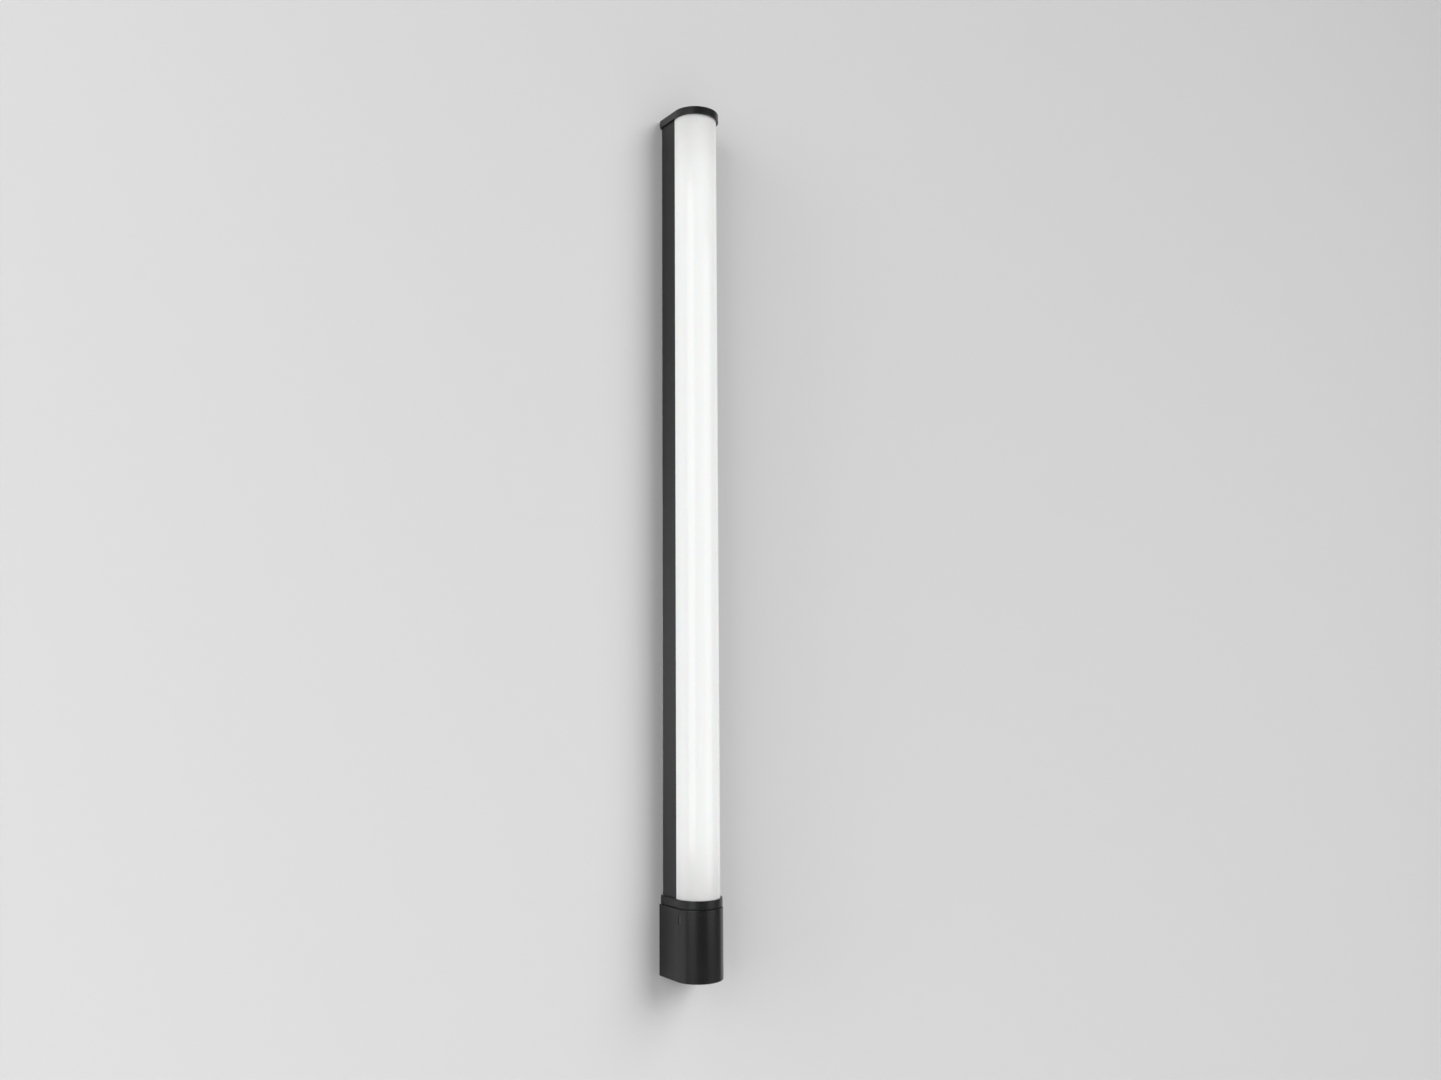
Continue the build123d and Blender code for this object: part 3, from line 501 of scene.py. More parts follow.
def lofted(name, rings):
    """A closed solid through outlines of as many points each."""
    shape = bmesh.new()
    loops = [[shape.verts.new(point) for point in ring] for ring in rings]
    for lower, upper in zip(loops, loops[1:]):
        for a, b, c, d in zip(lower, lower[1:] + lower[:1], upper[1:] + upper[:1], upper):
            shape.faces.new((a, b, c, d))
    shape.faces.new(loops[0])
    shape.faces.new(loops[-1])
    return closed_shape(shape, name)


def carved(draft, name, added=(), removed=()):
    """The draft with solids joined to it and others cut out of it, as a finished piece."""
    for solids, operation in ((added, "UNION"), (removed, "DIFFERENCE")):
        for solid in solids:
            step = draft.modifiers.new(solid.name, "BOOLEAN")
            step.operation = operation
            step.solver = "EXACT"
            step.object = solid
    piece = plain_mesh(draft, name, turn=32)
    for solid in (*added, *removed):
        bpy.data.objects.remove(solid)
    return piece


def quarter(radius, steps=6):
    """Inset and rise of points on a rounded edge, from its face to its side."""
    turns = [pi / 2 * step / steps for step in range(steps + 1)]
    return [(radius * (1 - sin(turn)), radius * (1 - cos(turn))) for turn in turns]


wall_gap, stand_off = 0.0003, -channel_high.y
cap_plate, cap_height, cap_corner = 0.003, 0.009, 0.003
cap_edge, cap_rim, cap_fit, pocket_fillet = 0.0008, 0.0003, 0.00025, 0.0003
cap_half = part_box("lower_end_cap")[1].x
cap_screw_head, cap_screw_shank = 0.0033, 0.00145
sink_radius, pass_radius = cap_screw_head + 0.00015, cap_screw_shank + 0.0003
beyond = 0.001  # how far a cutter goes on past what it cuts


def corner_spots(cad_node, head):
    """The middles of four screws that sit in the corners of one CAD node."""
    low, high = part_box(cad_node)
    return [
        (x, y)
        for x in (low.x + head, high.x - head)
        for y in (low.y + head, high.y - head)
    ]


def sink_cutter(name, x, y, face, inward):
    """A countersunk hole through a cap's plate, seen from its outer face."""
    lead = 0.0003
    rises = (
        (sink_radius + lead, -lead),
        (pass_radius, sink_radius - pass_radius),
        (pass_radius, cap_plate + beyond),
    )
    return lofted(
        name, [round_ring(x, y, radius, face + inward * rise) for radius, rise in rises]
    )


def cap_cup(name, screws, face, inward, added=(), removed=()):
    """An end cap: its outer face at a level, its skirt reaching inward over the channel."""
    outline = quarter(cap_edge) + [
        (inset, cap_height - rise) for inset, rise in reversed(quarter(cap_rim))
    ]
    cup = lofted(
        name + "_draft",
        [
            d_ring(cap_half, wall_gap, face + inward * rise, inset, cap_corner, inset)
            for inset, rise in outline
        ],
    )
    pocket_rises = (
        (pocket_fillet, cap_plate),
        (0, cap_plate + pocket_fillet),
        (0, cap_height + beyond),
    )
    pocket = lofted(
        name + "_pocket",
        [
            d_ring(
                channel_half + cap_fit, stand_off - cap_fit, face + inward * rise, inset,
                rear_inset=inset,
            )
            for inset, rise in pocket_rises
        ],
    )
    sinks = [
        sink_cutter(f"{name}_sink_{index}", x, y, face, inward)
        for index, (x, y) in enumerate(corner_spots(screws, cap_screw_head))
    ]
    # The bosses are joined after the pocket is cut, so the cup is made in two steps.
    cup = carved(cup, name + "_cup", removed=[pocket])
    return carved(cup, name, added, [*sinks, *removed])


face, boss_top = [corner.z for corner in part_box("lower_end_cap")]
big_head, big_shank, big_head_height = 0.0036, 0.0019, 0.0024
big_screw = dict(
    Head_Radius=big_head, Head_Height=big_head_height, Shank_Radius=big_shank,
    Recess_Length=0.0042, Recess_Width=0.0009, Recess_Depth=0.0014,
)
low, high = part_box("base_screws")
base_screw_spots = [(x, low.y + big_head) for x in (low.x + big_head, high.x - big_head)]
boss_radius, boss_break, bore_depth, bore_fit = 0.0037, 0.0003, 0.0115, 0.00005
boss_rises = (
    (0, face + cap_plate / 2),
    (0, boss_top - boss_break),
    (boss_break, boss_top),
)
bosses = [
    lofted(
        f"boss_{index}",
        [round_ring(x, y, boss_radius - inset, level) for inset, level in boss_rises],
    )
    for index, (x, y) in enumerate(base_screw_spots)
]
boss_bores = [
    lofted(
        f"boss_bore_{index}",
        [round_ring(x, y, big_shank + bore_fit, face + rise) for rise in (-beyond, bore_depth)],
    )
    for index, (x, y) in enumerate(base_screw_spots)
]
low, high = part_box("feed_grommet")
feed_x, feed_y, feed_radius = (low.x + high.x) / 2, (low.y + high.y) / 2, 0.0051
feed_hole = lofted(
    "feed_hole",
    [
        round_ring(feed_x, feed_y, feed_radius, face + rise)
        for rise in (-beyond, cap_plate + beyond)
    ],
)
lower_cap = cap_cup(
    "lower_end_cap_moulding", "lower_cap_screws", face, 1, bosses, [*boss_bores, feed_hole]
)
dress(lower_cap, cap_black, "light", "lower_end_cap")
silicone = moulded("gasket_silicone", (0.06, 0.06, 0.06), (0.08, 0.08, 0.08), 0.6)


def carried(cad_node, material):
    """A CAD node that keeps its shape and gets its real finish."""
    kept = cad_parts[cad_node]
    kept.data.materials.clear()
    kept.data.materials.append(material)


carried("lower_cap_gasket", silicone)
low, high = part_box("lower_cap_screws")
cap_screw = dict(
    Head_Radius=cap_screw_head, Head_Height=0.0, Head_Sink=cap_screw_head - cap_screw_shank,
    Shank_Radius=cap_screw_shank, Shank_Length=high.z - low.z, Recess_Length=0.0032,
    Recess_Width=0.0007, Recess_Depth=0.0011,
)
downwards = (0, 0, -1)
screw_set(
    "lower_cap_screw_set",
    [(x, y, low.z) for x, y in corner_spots("lower_cap_screws", cap_screw_head)],
    downwards, "lower_cap_screws", Turn_Seed=11, **cap_screw,
)
feed = rounded_copy("feed_grommet", "feed_grommet_rubber", 0.0003)
dress(feed, rubber, "light", "feed_grommet")

# ---- Base screws -----------------------------------------------------------------------
# Two pan-head steel screws, driven up through the shelf into the lower cap's bosses, so that
# the whole tube stands on the base.
low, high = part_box("base_screws")
screw_set(
    "base_screw_set",
    [(x, y, low.z + big_head_height) for x, y in base_screw_spots],
    downwards, "base_screws", Shank_Length=high.z - low.z - big_head_height, Turn_Seed=2,
    **big_screw,
)

# ---- Channel ---------------------------------------------------------------------------
# The body of the light. One length of extruded aluminium, sawn square, with a fine matt black
# powder coat that shows a faint orange peel and thins to the metal on its front lips.
coat, tree, shader = new_finish(
    "profile_coating", (0.018, 0.018, 0.019), 0.5, Specular_IOR_Level=0.38
)
peel = speckle(tree, 0.0011, 2.0)
cloud = speckle(tree, 0.09, 3.0, (1, 1, 0.35))
sparkle = speckle(tree, 0.00035, 1.0)
coated = tinted(tree, ranged(tree, cloud, 0, 1), (0.016, 0.016, 0.017), (0.02, 0.02, 0.021))
bare_metal, lip_width = (0.1, 0.1, 0.104), 0.0004
rubbed = worked(
    tree, "MULTIPLY", edge_wear(tree, lip_width), ranged(tree, sparkle, 0.1, 0.7)
)
tree.links.new(tinted(tree, rubbed, coated, bare_metal), shader.inputs["Base Color"])
tree.links.new(ranged(tree, peel, 0.44, 0.56), shader.inputs["Roughness"])
bump(tree, shader, peel, 0.00003)
channel = rounded_copy("body_profile", "channel_extrusion", 0.0001, segments=1)
dress(channel, coat, "light", "body_profile")

# ---- Driver, earth tag and their screws ------------------------------------------------
# The LED driver is a closed white plastic case, screwed by its ears to the slot's floor. Below
# it the earth core ends in a tinned brass tag under its own screw.
case_white = moulded("driver_case", (0.8, 0.8, 0.79), (0.86, 0.86, 0.85), 0.45)
driver = rounded_copy("led_driver", "led_driver_case", 0.0002)
dress(driver, case_white, "light", "led_driver")
low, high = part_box("driver_screws")
screw_set(
    "driver_screw_set",
    [(0, low.y + small_head_height, z) for z in (low.z + small_head, high.z - small_head)],
    into_room, "driver_screws", Shank_Length=high.y - low.y - small_head_height, Turn_Seed=4,
    **small_screw,
)
tinned = metal("tag_brass", (0.7, 0.66, 0.55), 0.34, (1, 1, 1))
tag = rounded_copy("earth_tag", "earth_tag_pressing", 0.0001, segments=1)
dress(tag, tinned, "light", "earth_tag")
low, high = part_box("earth_screw")
screw_set(
    "earth_screw_head",
    [((low.x + high.x) / 2, low.y + big_head_height, (low.z + high.z) / 2)],
    into_room, "earth_screw", Shank_Length=high.y - low.y - big_head_height, Turn_Seed=9,
    **big_screw,
)

# ---- LED boards ------------------------------------------------------------------------
# Three aluminium-core boards with a white solder mask, end to end on the web, and twenty-four
# surface-mounted LEDs on each. Screws hold them and nylon connectors join them.
def grained(name, color, roughness, size, dark, light, gloss, depth=None):
    """A smooth finish whose colour, gloss and relief follow one fine grain."""
    material, tree, shader = new_finish(name, color, roughness)
    grain = speckle(tree, size)
    tone = tinted(tree, ranged(tree, grain, 0, 1), dark, light)
    tree.links.new(tone, shader.inputs["Base Color"])
    tree.links.new(ranged(tree, grain, *gloss), shader.inputs["Roughness"])
    if depth:
        bump(tree, shader, grain, depth)
    return material


mask = grained(
    "board_laminate", (0.85, 0.85, 0.83), 0.3, size=0.0012, dark=(0.8, 0.8, 0.77),
    light=(0.87, 0.87, 0.85), gloss=(0.26, 0.36), depth=0.00001,
)
phosphor = grained(
    "led_lens", (0.85, 0.75, 0.35), 0.35, size=0.0002, dark=(0.8, 0.62, 0.2),
    light=(0.9, 0.8, 0.42), gloss=(0.25, 0.45), depth=0.000005,
)
led_white = moulded("led_housing", (0.8, 0.8, 0.78), (0.86, 0.86, 0.85), 0.4, grain=0.0003)
solder = metal("led_solder", (0.62, 0.62, 0.6), 0.35, (1, 1, 1))

def led_tree(name):
    """Geometry Nodes for a row of LEDs: housings, phosphor windows and soldered feet."""
    tree, given = tree_with(
        name,
        [
            ("First", "NodeSocketGeometry", None),
            ("Count", "NodeSocketInt", 24),
            ("Pitch", "NodeSocketFloat", 0.012),
            ("Width", "NodeSocketFloat", 0.0028),
            ("Length", "NodeSocketFloat", 0.0035),
            ("Height", "NodeSocketFloat", 0.0008),
            ("Window Radius", "NodeSocketFloat", 0.00115),
            ("Housing", "NodeSocketMaterial", None),
            ("Window", "NodeSocketMaterial", None),
            ("Feet", "NodeSocketMaterial", None),
        ],
        "LEDs",
    )

    # Shares of an LED's own height, length, width and window radius.
    body_high, body_long = 0.9, 0.94
    foot_high, foot_wide, foot_long, foot_out = 0.3, 0.8, 0.1, 0.45
    window_seat, window_high, window_taper, window_facets = 0.85, 0.15, 0.8, 20

    def scaled(value, factor):
        return worked(tree, "MULTIPLY", value, factor)

    def box_of(width, depth, length, middle, level, finish):
        size = node(tree, "ShaderNodeCombineXYZ", {"X": width, "Y": depth, "Z": length})
        spot = node(tree, "ShaderNodeCombineXYZ", {"Y": middle, "Z": level})
        made = node(tree, "GeometryNodeMeshCube", {"Size": size.outputs[0]})
        moved = node(
            tree,
            "GeometryNodeTransform",
            {"Geometry": made.outputs["Mesh"], "Translation": spot.outputs[0]},
        )
        return node(
            tree,
            "GeometryNodeSetMaterial",
            {"Geometry": moved.outputs[0], "Material": finish},
        ).outputs[0]

    body_height = scaled(given["Height"], body_high)
    body = box_of(
        given["Width"], body_height, scaled(given["Length"], body_long),
        scaled(body_height, -0.5), 0.0, given["Housing"],
    )
    foot_height = scaled(given["Height"], foot_high)
    feet = [
        box_of(
            scaled(given["Width"], foot_wide), foot_height, scaled(given["Length"], foot_long),
            scaled(foot_height, -0.5), scaled(given["Length"], side * foot_out), given["Feet"],
        )
        for side in (-1, 1)
    ]
    dome = node(
        tree,
        "GeometryNodeMeshCone",
        {
            "Vertices": window_facets,
            "Radius Top": scaled(given["Window Radius"], window_taper),
            "Radius Bottom": given["Window Radius"],
            "Depth": scaled(given["Height"], window_high),
        },
    )
    seat = node(tree, "ShaderNodeCombineXYZ", {"Y": scaled(given["Height"], -window_seat)})
    window = node(
        tree,
        "GeometryNodeTransform",
        {
            "Geometry": dome.outputs["Mesh"],
            "Translation": seat.outputs[0],
            "Rotation": (pi / 2, 0, 0),
        },
    )
    window = node(
        tree,
        "GeometryNodeSetMaterial",
        {"Geometry": window.outputs[0], "Material": given["Window"]},
    )
    package = node(tree, "GeometryNodeJoinGeometry")
    for part in (window.outputs[0], *feet, body):
        tree.links.new(part, package.inputs[0])
    step = node(tree, "ShaderNodeCombineXYZ", {"Z": given["Pitch"]})
    row = node(
        tree,
        "GeometryNodeMeshLine",
        {"Count": given["Count"], "Offset": step.outputs[0]},
        mode="OFFSET",
    )
    packages = node(
        tree,
        "GeometryNodeInstanceOnPoints",
        {"Points": row.outputs[0], "Instance": package.outputs[0]},
    )
    placed = node(
        tree,
        "GeometryNodeInstanceOnPoints",
        {"Points": given["First"], "Instance": packages.outputs[0]},
    )
    real = node(tree, "GeometryNodeRealizeInstances", {"Geometry": placed.outputs[0]})
    node(tree, "NodeGroupOutput", {0: real.outputs[0]})
    return tree


led_maker = led_tree("led_maker")
led_count, led_length, led_window = 24, 0.0035, 0.00115
for index in (1, 2, 3):
    carried(f"led_board_{index}", mask)
    low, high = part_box(f"led_packages_{index}")
    led_pitch = (high.z - low.z - led_length) / (led_count - 1)
    mark = bpy.data.meshes.new(f"first_led_{index}")
    mark.from_pydata([(0, high.y, low.z + led_length / 2)], [], [])
    leds = with_nodes(
        linked(f"led_row_{index}_draft", mark), led_maker, f"led_row_{index}",
        Count=led_count, Pitch=led_pitch, Width=high.x - low.x, Length=led_length,
        Height=high.y - low.y, Window_Radius=led_window, Housing=led_white, Window=phosphor,
        Feet=solder,
    )
    dress(leds, None, "light", f"led_packages_{index}")
connector_white = moulded("connector_nylon", (0.8, 0.79, 0.75), (0.85, 0.84, 0.8), 0.45)
connectors = rounded_copy("board_connectors", "board_connector_set", 0.0002)
dress(connectors, connector_white, "light", "board_connectors")
low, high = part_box("board_screws")
board_boxes = [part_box(f"led_board_{index}") for index in (1, 2, 3)]
screw_set(
    "board_screw_set",
    [
        (0, low.y + small_head_height, z)
        for bottom, top in board_boxes
        for z in (bottom.z + led_pitch, top.z - led_pitch)
    ],
    into_room, "board_screws", Shank_Length=high.y - low.y - small_head_height, Turn_Seed=6,
    **small_screw,
)

# ---- Wires -----------------------------------------------------------------------------
# Soft vinyl-insulated cores: live, neutral and earth from the terminals up through the lower
# cap, and two thin ones from the driver to the first board's plug.
core_colors = {
    "live_wire": ("brown_wire", (0.12, 0.05, 0.02)),
    "neutral_wire": ("blue_wire", (0.02, 0.12, 0.45)),
    "led_wire_plus": ("red_wire", (0.5, 0.02, 0.02)),
    "led_wire_minus": ("black_wire", (0.02, 0.02, 0.02)),
}
tone_size, vinyl_gloss = 0.003, (0.3, 0.42)
for core, (slot, color) in core_colors.items():
    vinyl = grained(
        slot, color, 0.35, size=tone_size, dark=[c * 0.8 for c in color], light=color,
        gloss=vinyl_gloss,
    )
    dress(rounded_copy(core, core + "_core", 0), vinyl, "light", core)
earth_vinyl, tree, shader = new_finish("green_yellow_wire", (0.3, 0.5, 0.05), 0.35)
place = node(tree, "ShaderNodeTexCoord").outputs["Object"]
across = node(tree, "ShaderNodeSeparateXYZ", {0: place}).outputs["X"]
stripe_edges = (0.00045, 0.0005)
stripe = ranged(tree, worked(tree, "ABSOLUTE", across), 0, 1, at=stripe_edges)
tree.links.new(
    tinted(tree, stripe, (0.75, 0.6, 0.03), (0.03, 0.25, 0.04)), shader.inputs["Base Color"]
)
tree.links.new(
    ranged(tree, speckle(tree, tone_size), *vinyl_gloss), shader.inputs["Roughness"]
)
dress(
    rounded_copy("earth_wire", "earth_wire_core", 0), earth_vinyl, "light",
    "earth_wire",
)

# ---- Diffuser --------------------------------------------------------------------------
# The half-round front. Extruded opal polycarbonate, glossy, whose barbed feet snap behind the
# beads of the channel; its colour is painted darker near its ends, as painted shade where the caps
# close it.
opal, tree, shader = new_finish(
    "opal_diffuser", (0.88, 0.88, 0.87), 0.2, Subsurface_Weight=0.2, Subsurface_Scale=0.003,
    Specular_IOR_Level=0.42,
)
low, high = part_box("diffuser")
place = node(tree, "ShaderNodeTexCoord").outputs["Object"]
height = node(tree, "ShaderNodeSeparateXYZ", {0: place}).outputs["Z"]
# Painted shade: the opal's base colour is made darker towards both ends, in place of the shade
# that the caps cast.
from_top = worked(tree, "SUBTRACT", high.z, height)
from_foot = worked(tree, "SUBTRACT", height, low.z)
nearest = worked(tree, "MINIMUM", from_top, from_foot)
fade = 0.12  # from the ends, where the shade is halfway, to where it is full
inward = ranged(
    tree, nearest, 0.0, 1.0, at=(-fade, fade), interpolation_type="SMOOTHERSTEP"
)
opal_with_painted_end_shade = tinted(tree, inward, (0.44, 0.44, 0.435), (0.866, 0.866, 0.858))
tree.links.new(opal_with_painted_end_shade, shader.inputs["Base Color"])
draw_lines = speckle(tree, 0.0015, 1.0, (1, 1, 0.02))
tree.links.new(ranged(tree, draw_lines, 0.045, 0.08), shader.inputs["Roughness"])
bump(tree, shader, draw_lines, 0.0000008)


def extrusion_tree(name):
    """Geometry Nodes for an extrusion: fills a flat outline and draws it out upwards."""
    weld_distance = 1e-6
    tree, given = tree_with(
        name,
        [
            ("Outline", "NodeSocketGeometry", None),
            ("Level", "NodeSocketFloat", 0.0),
            ("Length", "NodeSocketFloat", 1.0),
            ("Finish", "NodeSocketMaterial", None),
        ],
        "Extrusion",
    )
    outline = node(tree, "GeometryNodeMeshToCurve", {"Mesh": given["Outline"]})
    filled = node(
        tree, "GeometryNodeFillCurve", {"Curve": outline.outputs[0]}, mode="NGONS"
    )
    rise = node(tree, "ShaderNodeCombineXYZ", {"Z": given["Level"]})
    foot = node(
        tree,
        "GeometryNodeTransform",
        {"Geometry": filled.outputs[0], "Translation": rise.outputs[0]},
    )
    drawn = node(
        tree,
        "GeometryNodeExtrudeMesh",
        {
            "Mesh": foot.outputs[0], "Offset": (0, 0, 1), "Offset Scale": given["Length"],
            "Individual": False,
        },
        mode="FACES",
    )
    turned = node(tree, "GeometryNodeFlipFaces", {"Mesh": foot.outputs[0]})
    both = node(tree, "GeometryNodeJoinGeometry")
    for part in (turned.outputs[0], drawn.outputs["Mesh"]):
        tree.links.new(part, both.inputs[0])
    merged = node(
        tree,
        "GeometryNodeMergeByDistance",
        {"Geometry": both.outputs[0], "Distance": weld_distance},
    )
    real = node(tree, "GeometryNodeRealizeInstances", {"Geometry": merged.outputs[0]})
    painted = node(
        tree,
        "GeometryNodeSetMaterial",
        {"Geometry": real.outputs[0], "Material": given["Finish"]},
    )
    node(tree, "NodeGroupOutput", {0: painted.outputs[0]})
    return tree


split_depth, shell_wall, edge_break = 0.032, 0.0018, 0.00015
foot_face, foot_inside, barb_tip = 0.0223, 0.0211, 0.023
foot_end, barb_front, barb_back, shoulder = 0.029, 0.03, 0.0297, 0.0336
shell_inside = channel_half - shell_wall
arc_steps = 96
front_turns = [pi * step / arc_steps for step in range(arc_steps + 1)]


def mirrored_foot(side):
    """A snap foot's points, from the shell's outer edge round to its inner wall."""
    points = [
        (channel_half, split_depth + edge_break),
        (channel_half - edge_break, split_depth),
        (foot_face, split_depth),
        (foot_face, barb_front),
        (barb_tip, barb_front),
        (barb_tip, barb_back),
        (foot_face, foot_end),
        (foot_inside, foot_end),
        (foot_inside, shoulder),
        (shell_inside, shoulder),
    ]
    return [(side * x, -depth, 0) for x, depth in points]


outer_arc = [
    (channel_half * cos(turn), -side_depth - channel_half * sin(turn), 0) for turn in front_turns
]
inner_arc = [
    (-shell_inside * cos(turn), -side_depth - shell_inside * sin(turn), 0) for turn in front_turns
]
outline = [*outer_arc, *mirrored_foot(-1), *inner_arc, *reversed(mirrored_foot(1))]
section = bpy.data.meshes.new("diffuser_section")
count = len(outline)
section.from_pydata(outline, [(index, (index + 1) % count) for index in range(count)], [])
shell = with_nodes(
    linked("diffuser_draft", section), extrusion_tree("extrusion_maker"), "diffuser_shell",
    Level=low.z, Length=high.z - low.z, Finish=opal,
)
dress(shell, opal, "light", "diffuser")

# ---- Top end cap -----------------------------------------------------------------------
# The same cup at the channel's upper end, moulded without bosses. Four flat-head screws hold
# it in the channel's ports, over a gasket.
top_cap = cap_cup(
    "top_end_cap_moulding", "top_cap_screws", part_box("top_end_cap")[1].z, -1
)
dress(top_cap, cap_black, "light", "top_end_cap")
carried("top_cap_gasket", silicone)
upwards, high = (0, 0, 1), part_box("top_cap_screws")[1]
screw_set(
    "top_cap_screw_set",
    [(x, y, high.z) for x, y in corner_spots("top_cap_screws", cap_screw_head)],
    upwards, "top_cap_screws", Turn_Seed=12, **cap_screw,
)

# ---- Catches ---------------------------------------------------------------------------
# Two leaf springs of bright stainless strip, pressed and bent, heat-staked over the pegs on
# the base's cheeks. Their nibs sit in the cover's slits.
spring = metal("spring_steel", (0.6, 0.6, 0.6), 0.27, (1, 0.05, 1), depth=0.0000008)
for side in ("left", "right"):
    catch = rounded_copy(f"catch_{side}", f"catch_{side}_spring", 0.00008, segments=1)
    dress(catch, spring, "light", f"catch_{side}")

# ---- Housing cover ---------------------------------------------------------------------
# The D-shaped cup that slides up over the base. Moulded black polycarbonate with a fine
# grain, an open top with a rounded rim, and a slit in each side to free its catches.
cover_black = moulded(
    "cover_plastic", (0.007, 0.007, 0.0075), (0.04, 0.04, 0.04), 0.26, grain=0.0004,
    depth=0.000006, mottle=0.015, Specular_IOR_Level=0.55,
)
low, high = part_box("housing_cover")
skin = 0.00002  # keeps the finely drawn curve inside the solid's coarser one
cover_half, cover_wall, cover_edge, edge_steps = high.x - skin, 0.0022, 0.001, 8
cover_inside, cover_floor = high.x - cover_wall, low.z + cover_wall
outline = [(inset, low.z + rise) for inset, rise in quarter(cover_edge, edge_steps)]
outline += [
    (inset, high.z - rise) for inset, rise in reversed(quarter(cover_edge, edge_steps))
]
cup = lofted(
    "cover_draft", [d_ring(cover_half, wall_gap, level, inset) for inset, level in outline]
)
open_back, floor_fillet, mouth_break, mouth_lead = -0.002, 0.0006, 0.0003, 0.0001
mouth = (
    (floor_fillet, cover_floor),
    (0, cover_floor + floor_fillet),
    (0, high.z - mouth_break),
    (-mouth_break - mouth_lead, high.z + mouth_lead),
)
pocket = lofted(
    "cover_pocket", [d_ring(cover_inside, open_back, level, inset) for inset, level in mouth]
)


def block_between(name, corner, opposite):
    """A box-shaped draft between two corners."""
    spots = [
        (x, y, z)
        for x in (corner[0], opposite[0])
        for y in (corner[1], opposite[1])
        for z in (corner[2], opposite[2])
    ]
    shape = bmesh.new()
    verts = [shape.verts.new(spot) for spot in spots]
    bmesh.ops.convex_hull(shape, input=verts)
    bmesh.ops.dissolve_limit(
        shape, angle_limit=radians(1), verts=shape.verts, edges=shape.edges
    )
    return closed_shape(shape, name)


rib_inside, rib_back, rib_front, rib_root = 0.0236, 0.0006, 0.0022, 0.0005
rib_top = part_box("base_plate")[1].z - 0.004
ribs = [
    block_between(
        f"rib_{index}",
        (side * rib_inside, -rib_front, cover_floor - rib_root),
        (side * (cover_inside + rib_root), -rib_back, rib_top),
    )
    for index, side in enumerate((-1, 1))
]
catch_low, catch_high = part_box("catch_right")
slit_fit, slit_width, slit_inside, slit_outside = 0.0003, 0.0025, 0.02, 0.03
slit_front = -catch_low.y + slit_fit
slits = [
    block_between(
        f"slit_{index}",
        (side * slit_inside, -slit_front, catch_low.z - slit_fit),
        (side * slit_outside, slit_width - slit_front, catch_high.z + slit_fit),
    )
    for index, side in enumerate((-1, 1))
]
cover = carved(cup, "cover_cup", removed=[pocket])
cover = carved(cover, "housing_cover_moulding", ribs, slits)
dress(cover, cover_black, "cover", "housing_cover")

# ---- Room, lamps and camera ------------------------------------------------------------
# A pale matt wall behind the light and a pale floor far below it, lit by three softboxes, two
# high lamps, one lamp behind the wall and an even room. The wall is clear from behind.
wall_paint = bpy.data.materials.new("wall_paint")
wall_paint.use_nodes = True
tree = wall_paint.node_tree
tree.nodes.clear()
paint = node(tree, "ShaderNodeBsdfDiffuse", {"Color": (0.7, 0.7, 0.7, 1), "Roughness": 0.5})
clear = node(tree, "ShaderNodeBsdfTransparent")
behind = node(tree, "ShaderNodeNewGeometry").outputs["Backfacing"]
shadow_ray = node(tree, "ShaderNodeLightPath").outputs["Is Shadow Ray"]
either = worked(tree, "MAXIMUM", behind, shadow_ray)
mixed = node(
    tree, "ShaderNodeMixShader", {0: either, 1: paint.outputs[0], 2: clear.outputs[0]}
)
node(tree, "ShaderNodeOutputMaterial", {0: mixed.outputs[0]})


def backdrop(name, corners, material):
    """A flat sheet of the room, facing the way its corners turn."""
    mesh = bpy.data.meshes.new(name)
    mesh.from_pydata(corners, [], [(0, 1, 2, 3)])
    mesh.materials.append(material)
    linked(name, mesh)


wall_face, floor_level, wall_top, wall_left, wall_right = 0.0002, -1.7, 4, -5, 6
backdrop(
    "room_wall",
    [
        (wall_left, wall_face, floor_level),
        (wall_right, wall_face, floor_level),
        (wall_right, wall_face, wall_top),
        (wall_left, wall_face, wall_top),
    ],
    wall_paint,
)
floor_paint = new_finish("floor_paint", (0.55, 0.55, 0.55), 0.8)[0]
floor_half, floor_left, floor_right = 6, -6, 7
backdrop(
    "room_floor",
    [
        (floor_left, -floor_half, floor_level),
        (floor_right, -floor_half, floor_level),
        (floor_right, floor_half, floor_level),
        (floor_left, floor_half, floor_level),
    ],
    floor_paint,
)

aim = Vector((0, -0.03, 0.46))


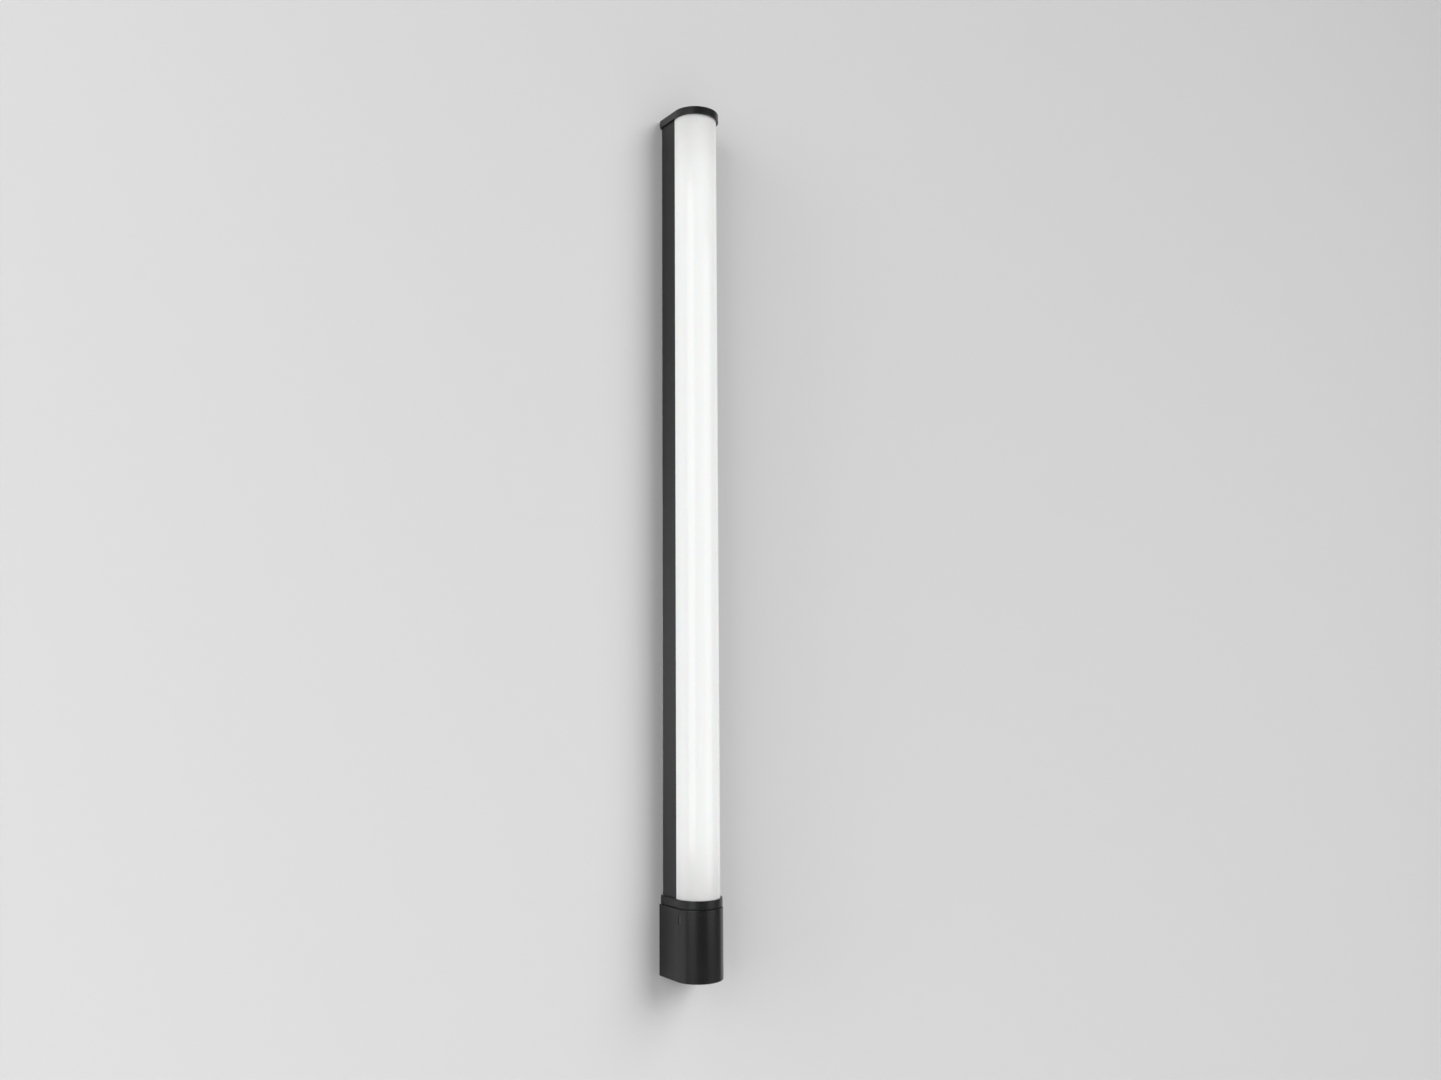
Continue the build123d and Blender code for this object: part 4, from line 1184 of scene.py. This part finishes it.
def softbox(name, azimuth, distance, height, size, watts, reflected=True):
    """A rectangular lamp, placed by its azimuth from the wall's normal, facing the light."""
    lamp = bpy.data.lights.new(name, "AREA")
    lamp.shape = "RECTANGLE"
    lamp.size, lamp.size_y = size
    lamp.energy = watts
    stand = linked(name, lamp)
    turn = radians(azimuth)
    stand.location = (distance * sin(turn), -distance * cos(turn), height)
    stand.rotation_mode = "QUATERNION"
    stand.rotation_quaternion = (aim - stand.location).to_track_quat("-Z", "Y")
    stand.visible_camera = False
    stand.visible_glossy = reflected


def far_lamp(name, azimuth, elevation, spread, strength, reflected=True):
    """A distant lamp that lights the room evenly from one direction."""
    lamp = bpy.data.lights.new(name, "SUN")
    lamp.energy = strength
    lamp.angle = radians(spread)
    stand = linked(name, lamp)
    turn, rise = radians(azimuth), radians(elevation)
    ray = Vector((-sin(turn) * cos(rise), cos(turn) * cos(rise), -sin(rise)))
    stand.rotation_mode = "QUATERNION"
    stand.rotation_quaternion = ray.to_track_quat("-Z", "Y")
    stand.visible_glossy = reflected


# Angles are in degrees. Two lamps aren't reflected, so that the opal has two streaks only.
softbox("softbox_right", 29, 3.0, 0.68, (2.07, 2.25), 20.0)
softbox("softbox_left", -61, 3.0, 0.82, (2.07, 2.38), 34.0)
softbox("softbox_side", -80, 5.0, 2.0, (1.6, 5.4), 88.0, reflected=False)
far_lamp("lamp_high_right", 35, 33, 44, 2.0, reflected=False)
far_lamp("lamp_high_left", -50, 50, 30, 0.2)
far_lamp("lamp_behind", 180, 0, 12, 1.6)

world = bpy.data.worlds.new("room_light")
bpy.context.scene.world = world
world.use_nodes = True
background = world.node_tree.nodes["Background"]
background.inputs["Color"].default_value = (1, 1, 1, 1)
background.inputs["Strength"].default_value = 0.14

eye = Vector((-0.7876, -1.2639, 0.30325))
yaw, pitch, roll = radians(33.797), radians(5.806), radians(-0.335)
right = Vector((cos(yaw), -sin(yaw), 0))
ahead = Vector((sin(yaw) * cos(pitch), cos(yaw) * cos(pitch), sin(pitch)))
up = right.cross(ahead)
leaned_right = cos(roll) * right + sin(roll) * up
leaned_up = cos(roll) * up - sin(roll) * right
camera = linked("camera", bpy.data.cameras.new("camera"))
camera.matrix_world = Matrix.Translation(eye) @ Matrix(
    (leaned_right, leaned_up, -ahead)
).transposed().to_4x4()
camera.data.sensor_width = 36
camera.data.lens = 31.738
camera.data.clip_end = 50
bpy.context.scene.camera = camera
bpy.context.scene.view_settings.view_transform = "Standard"
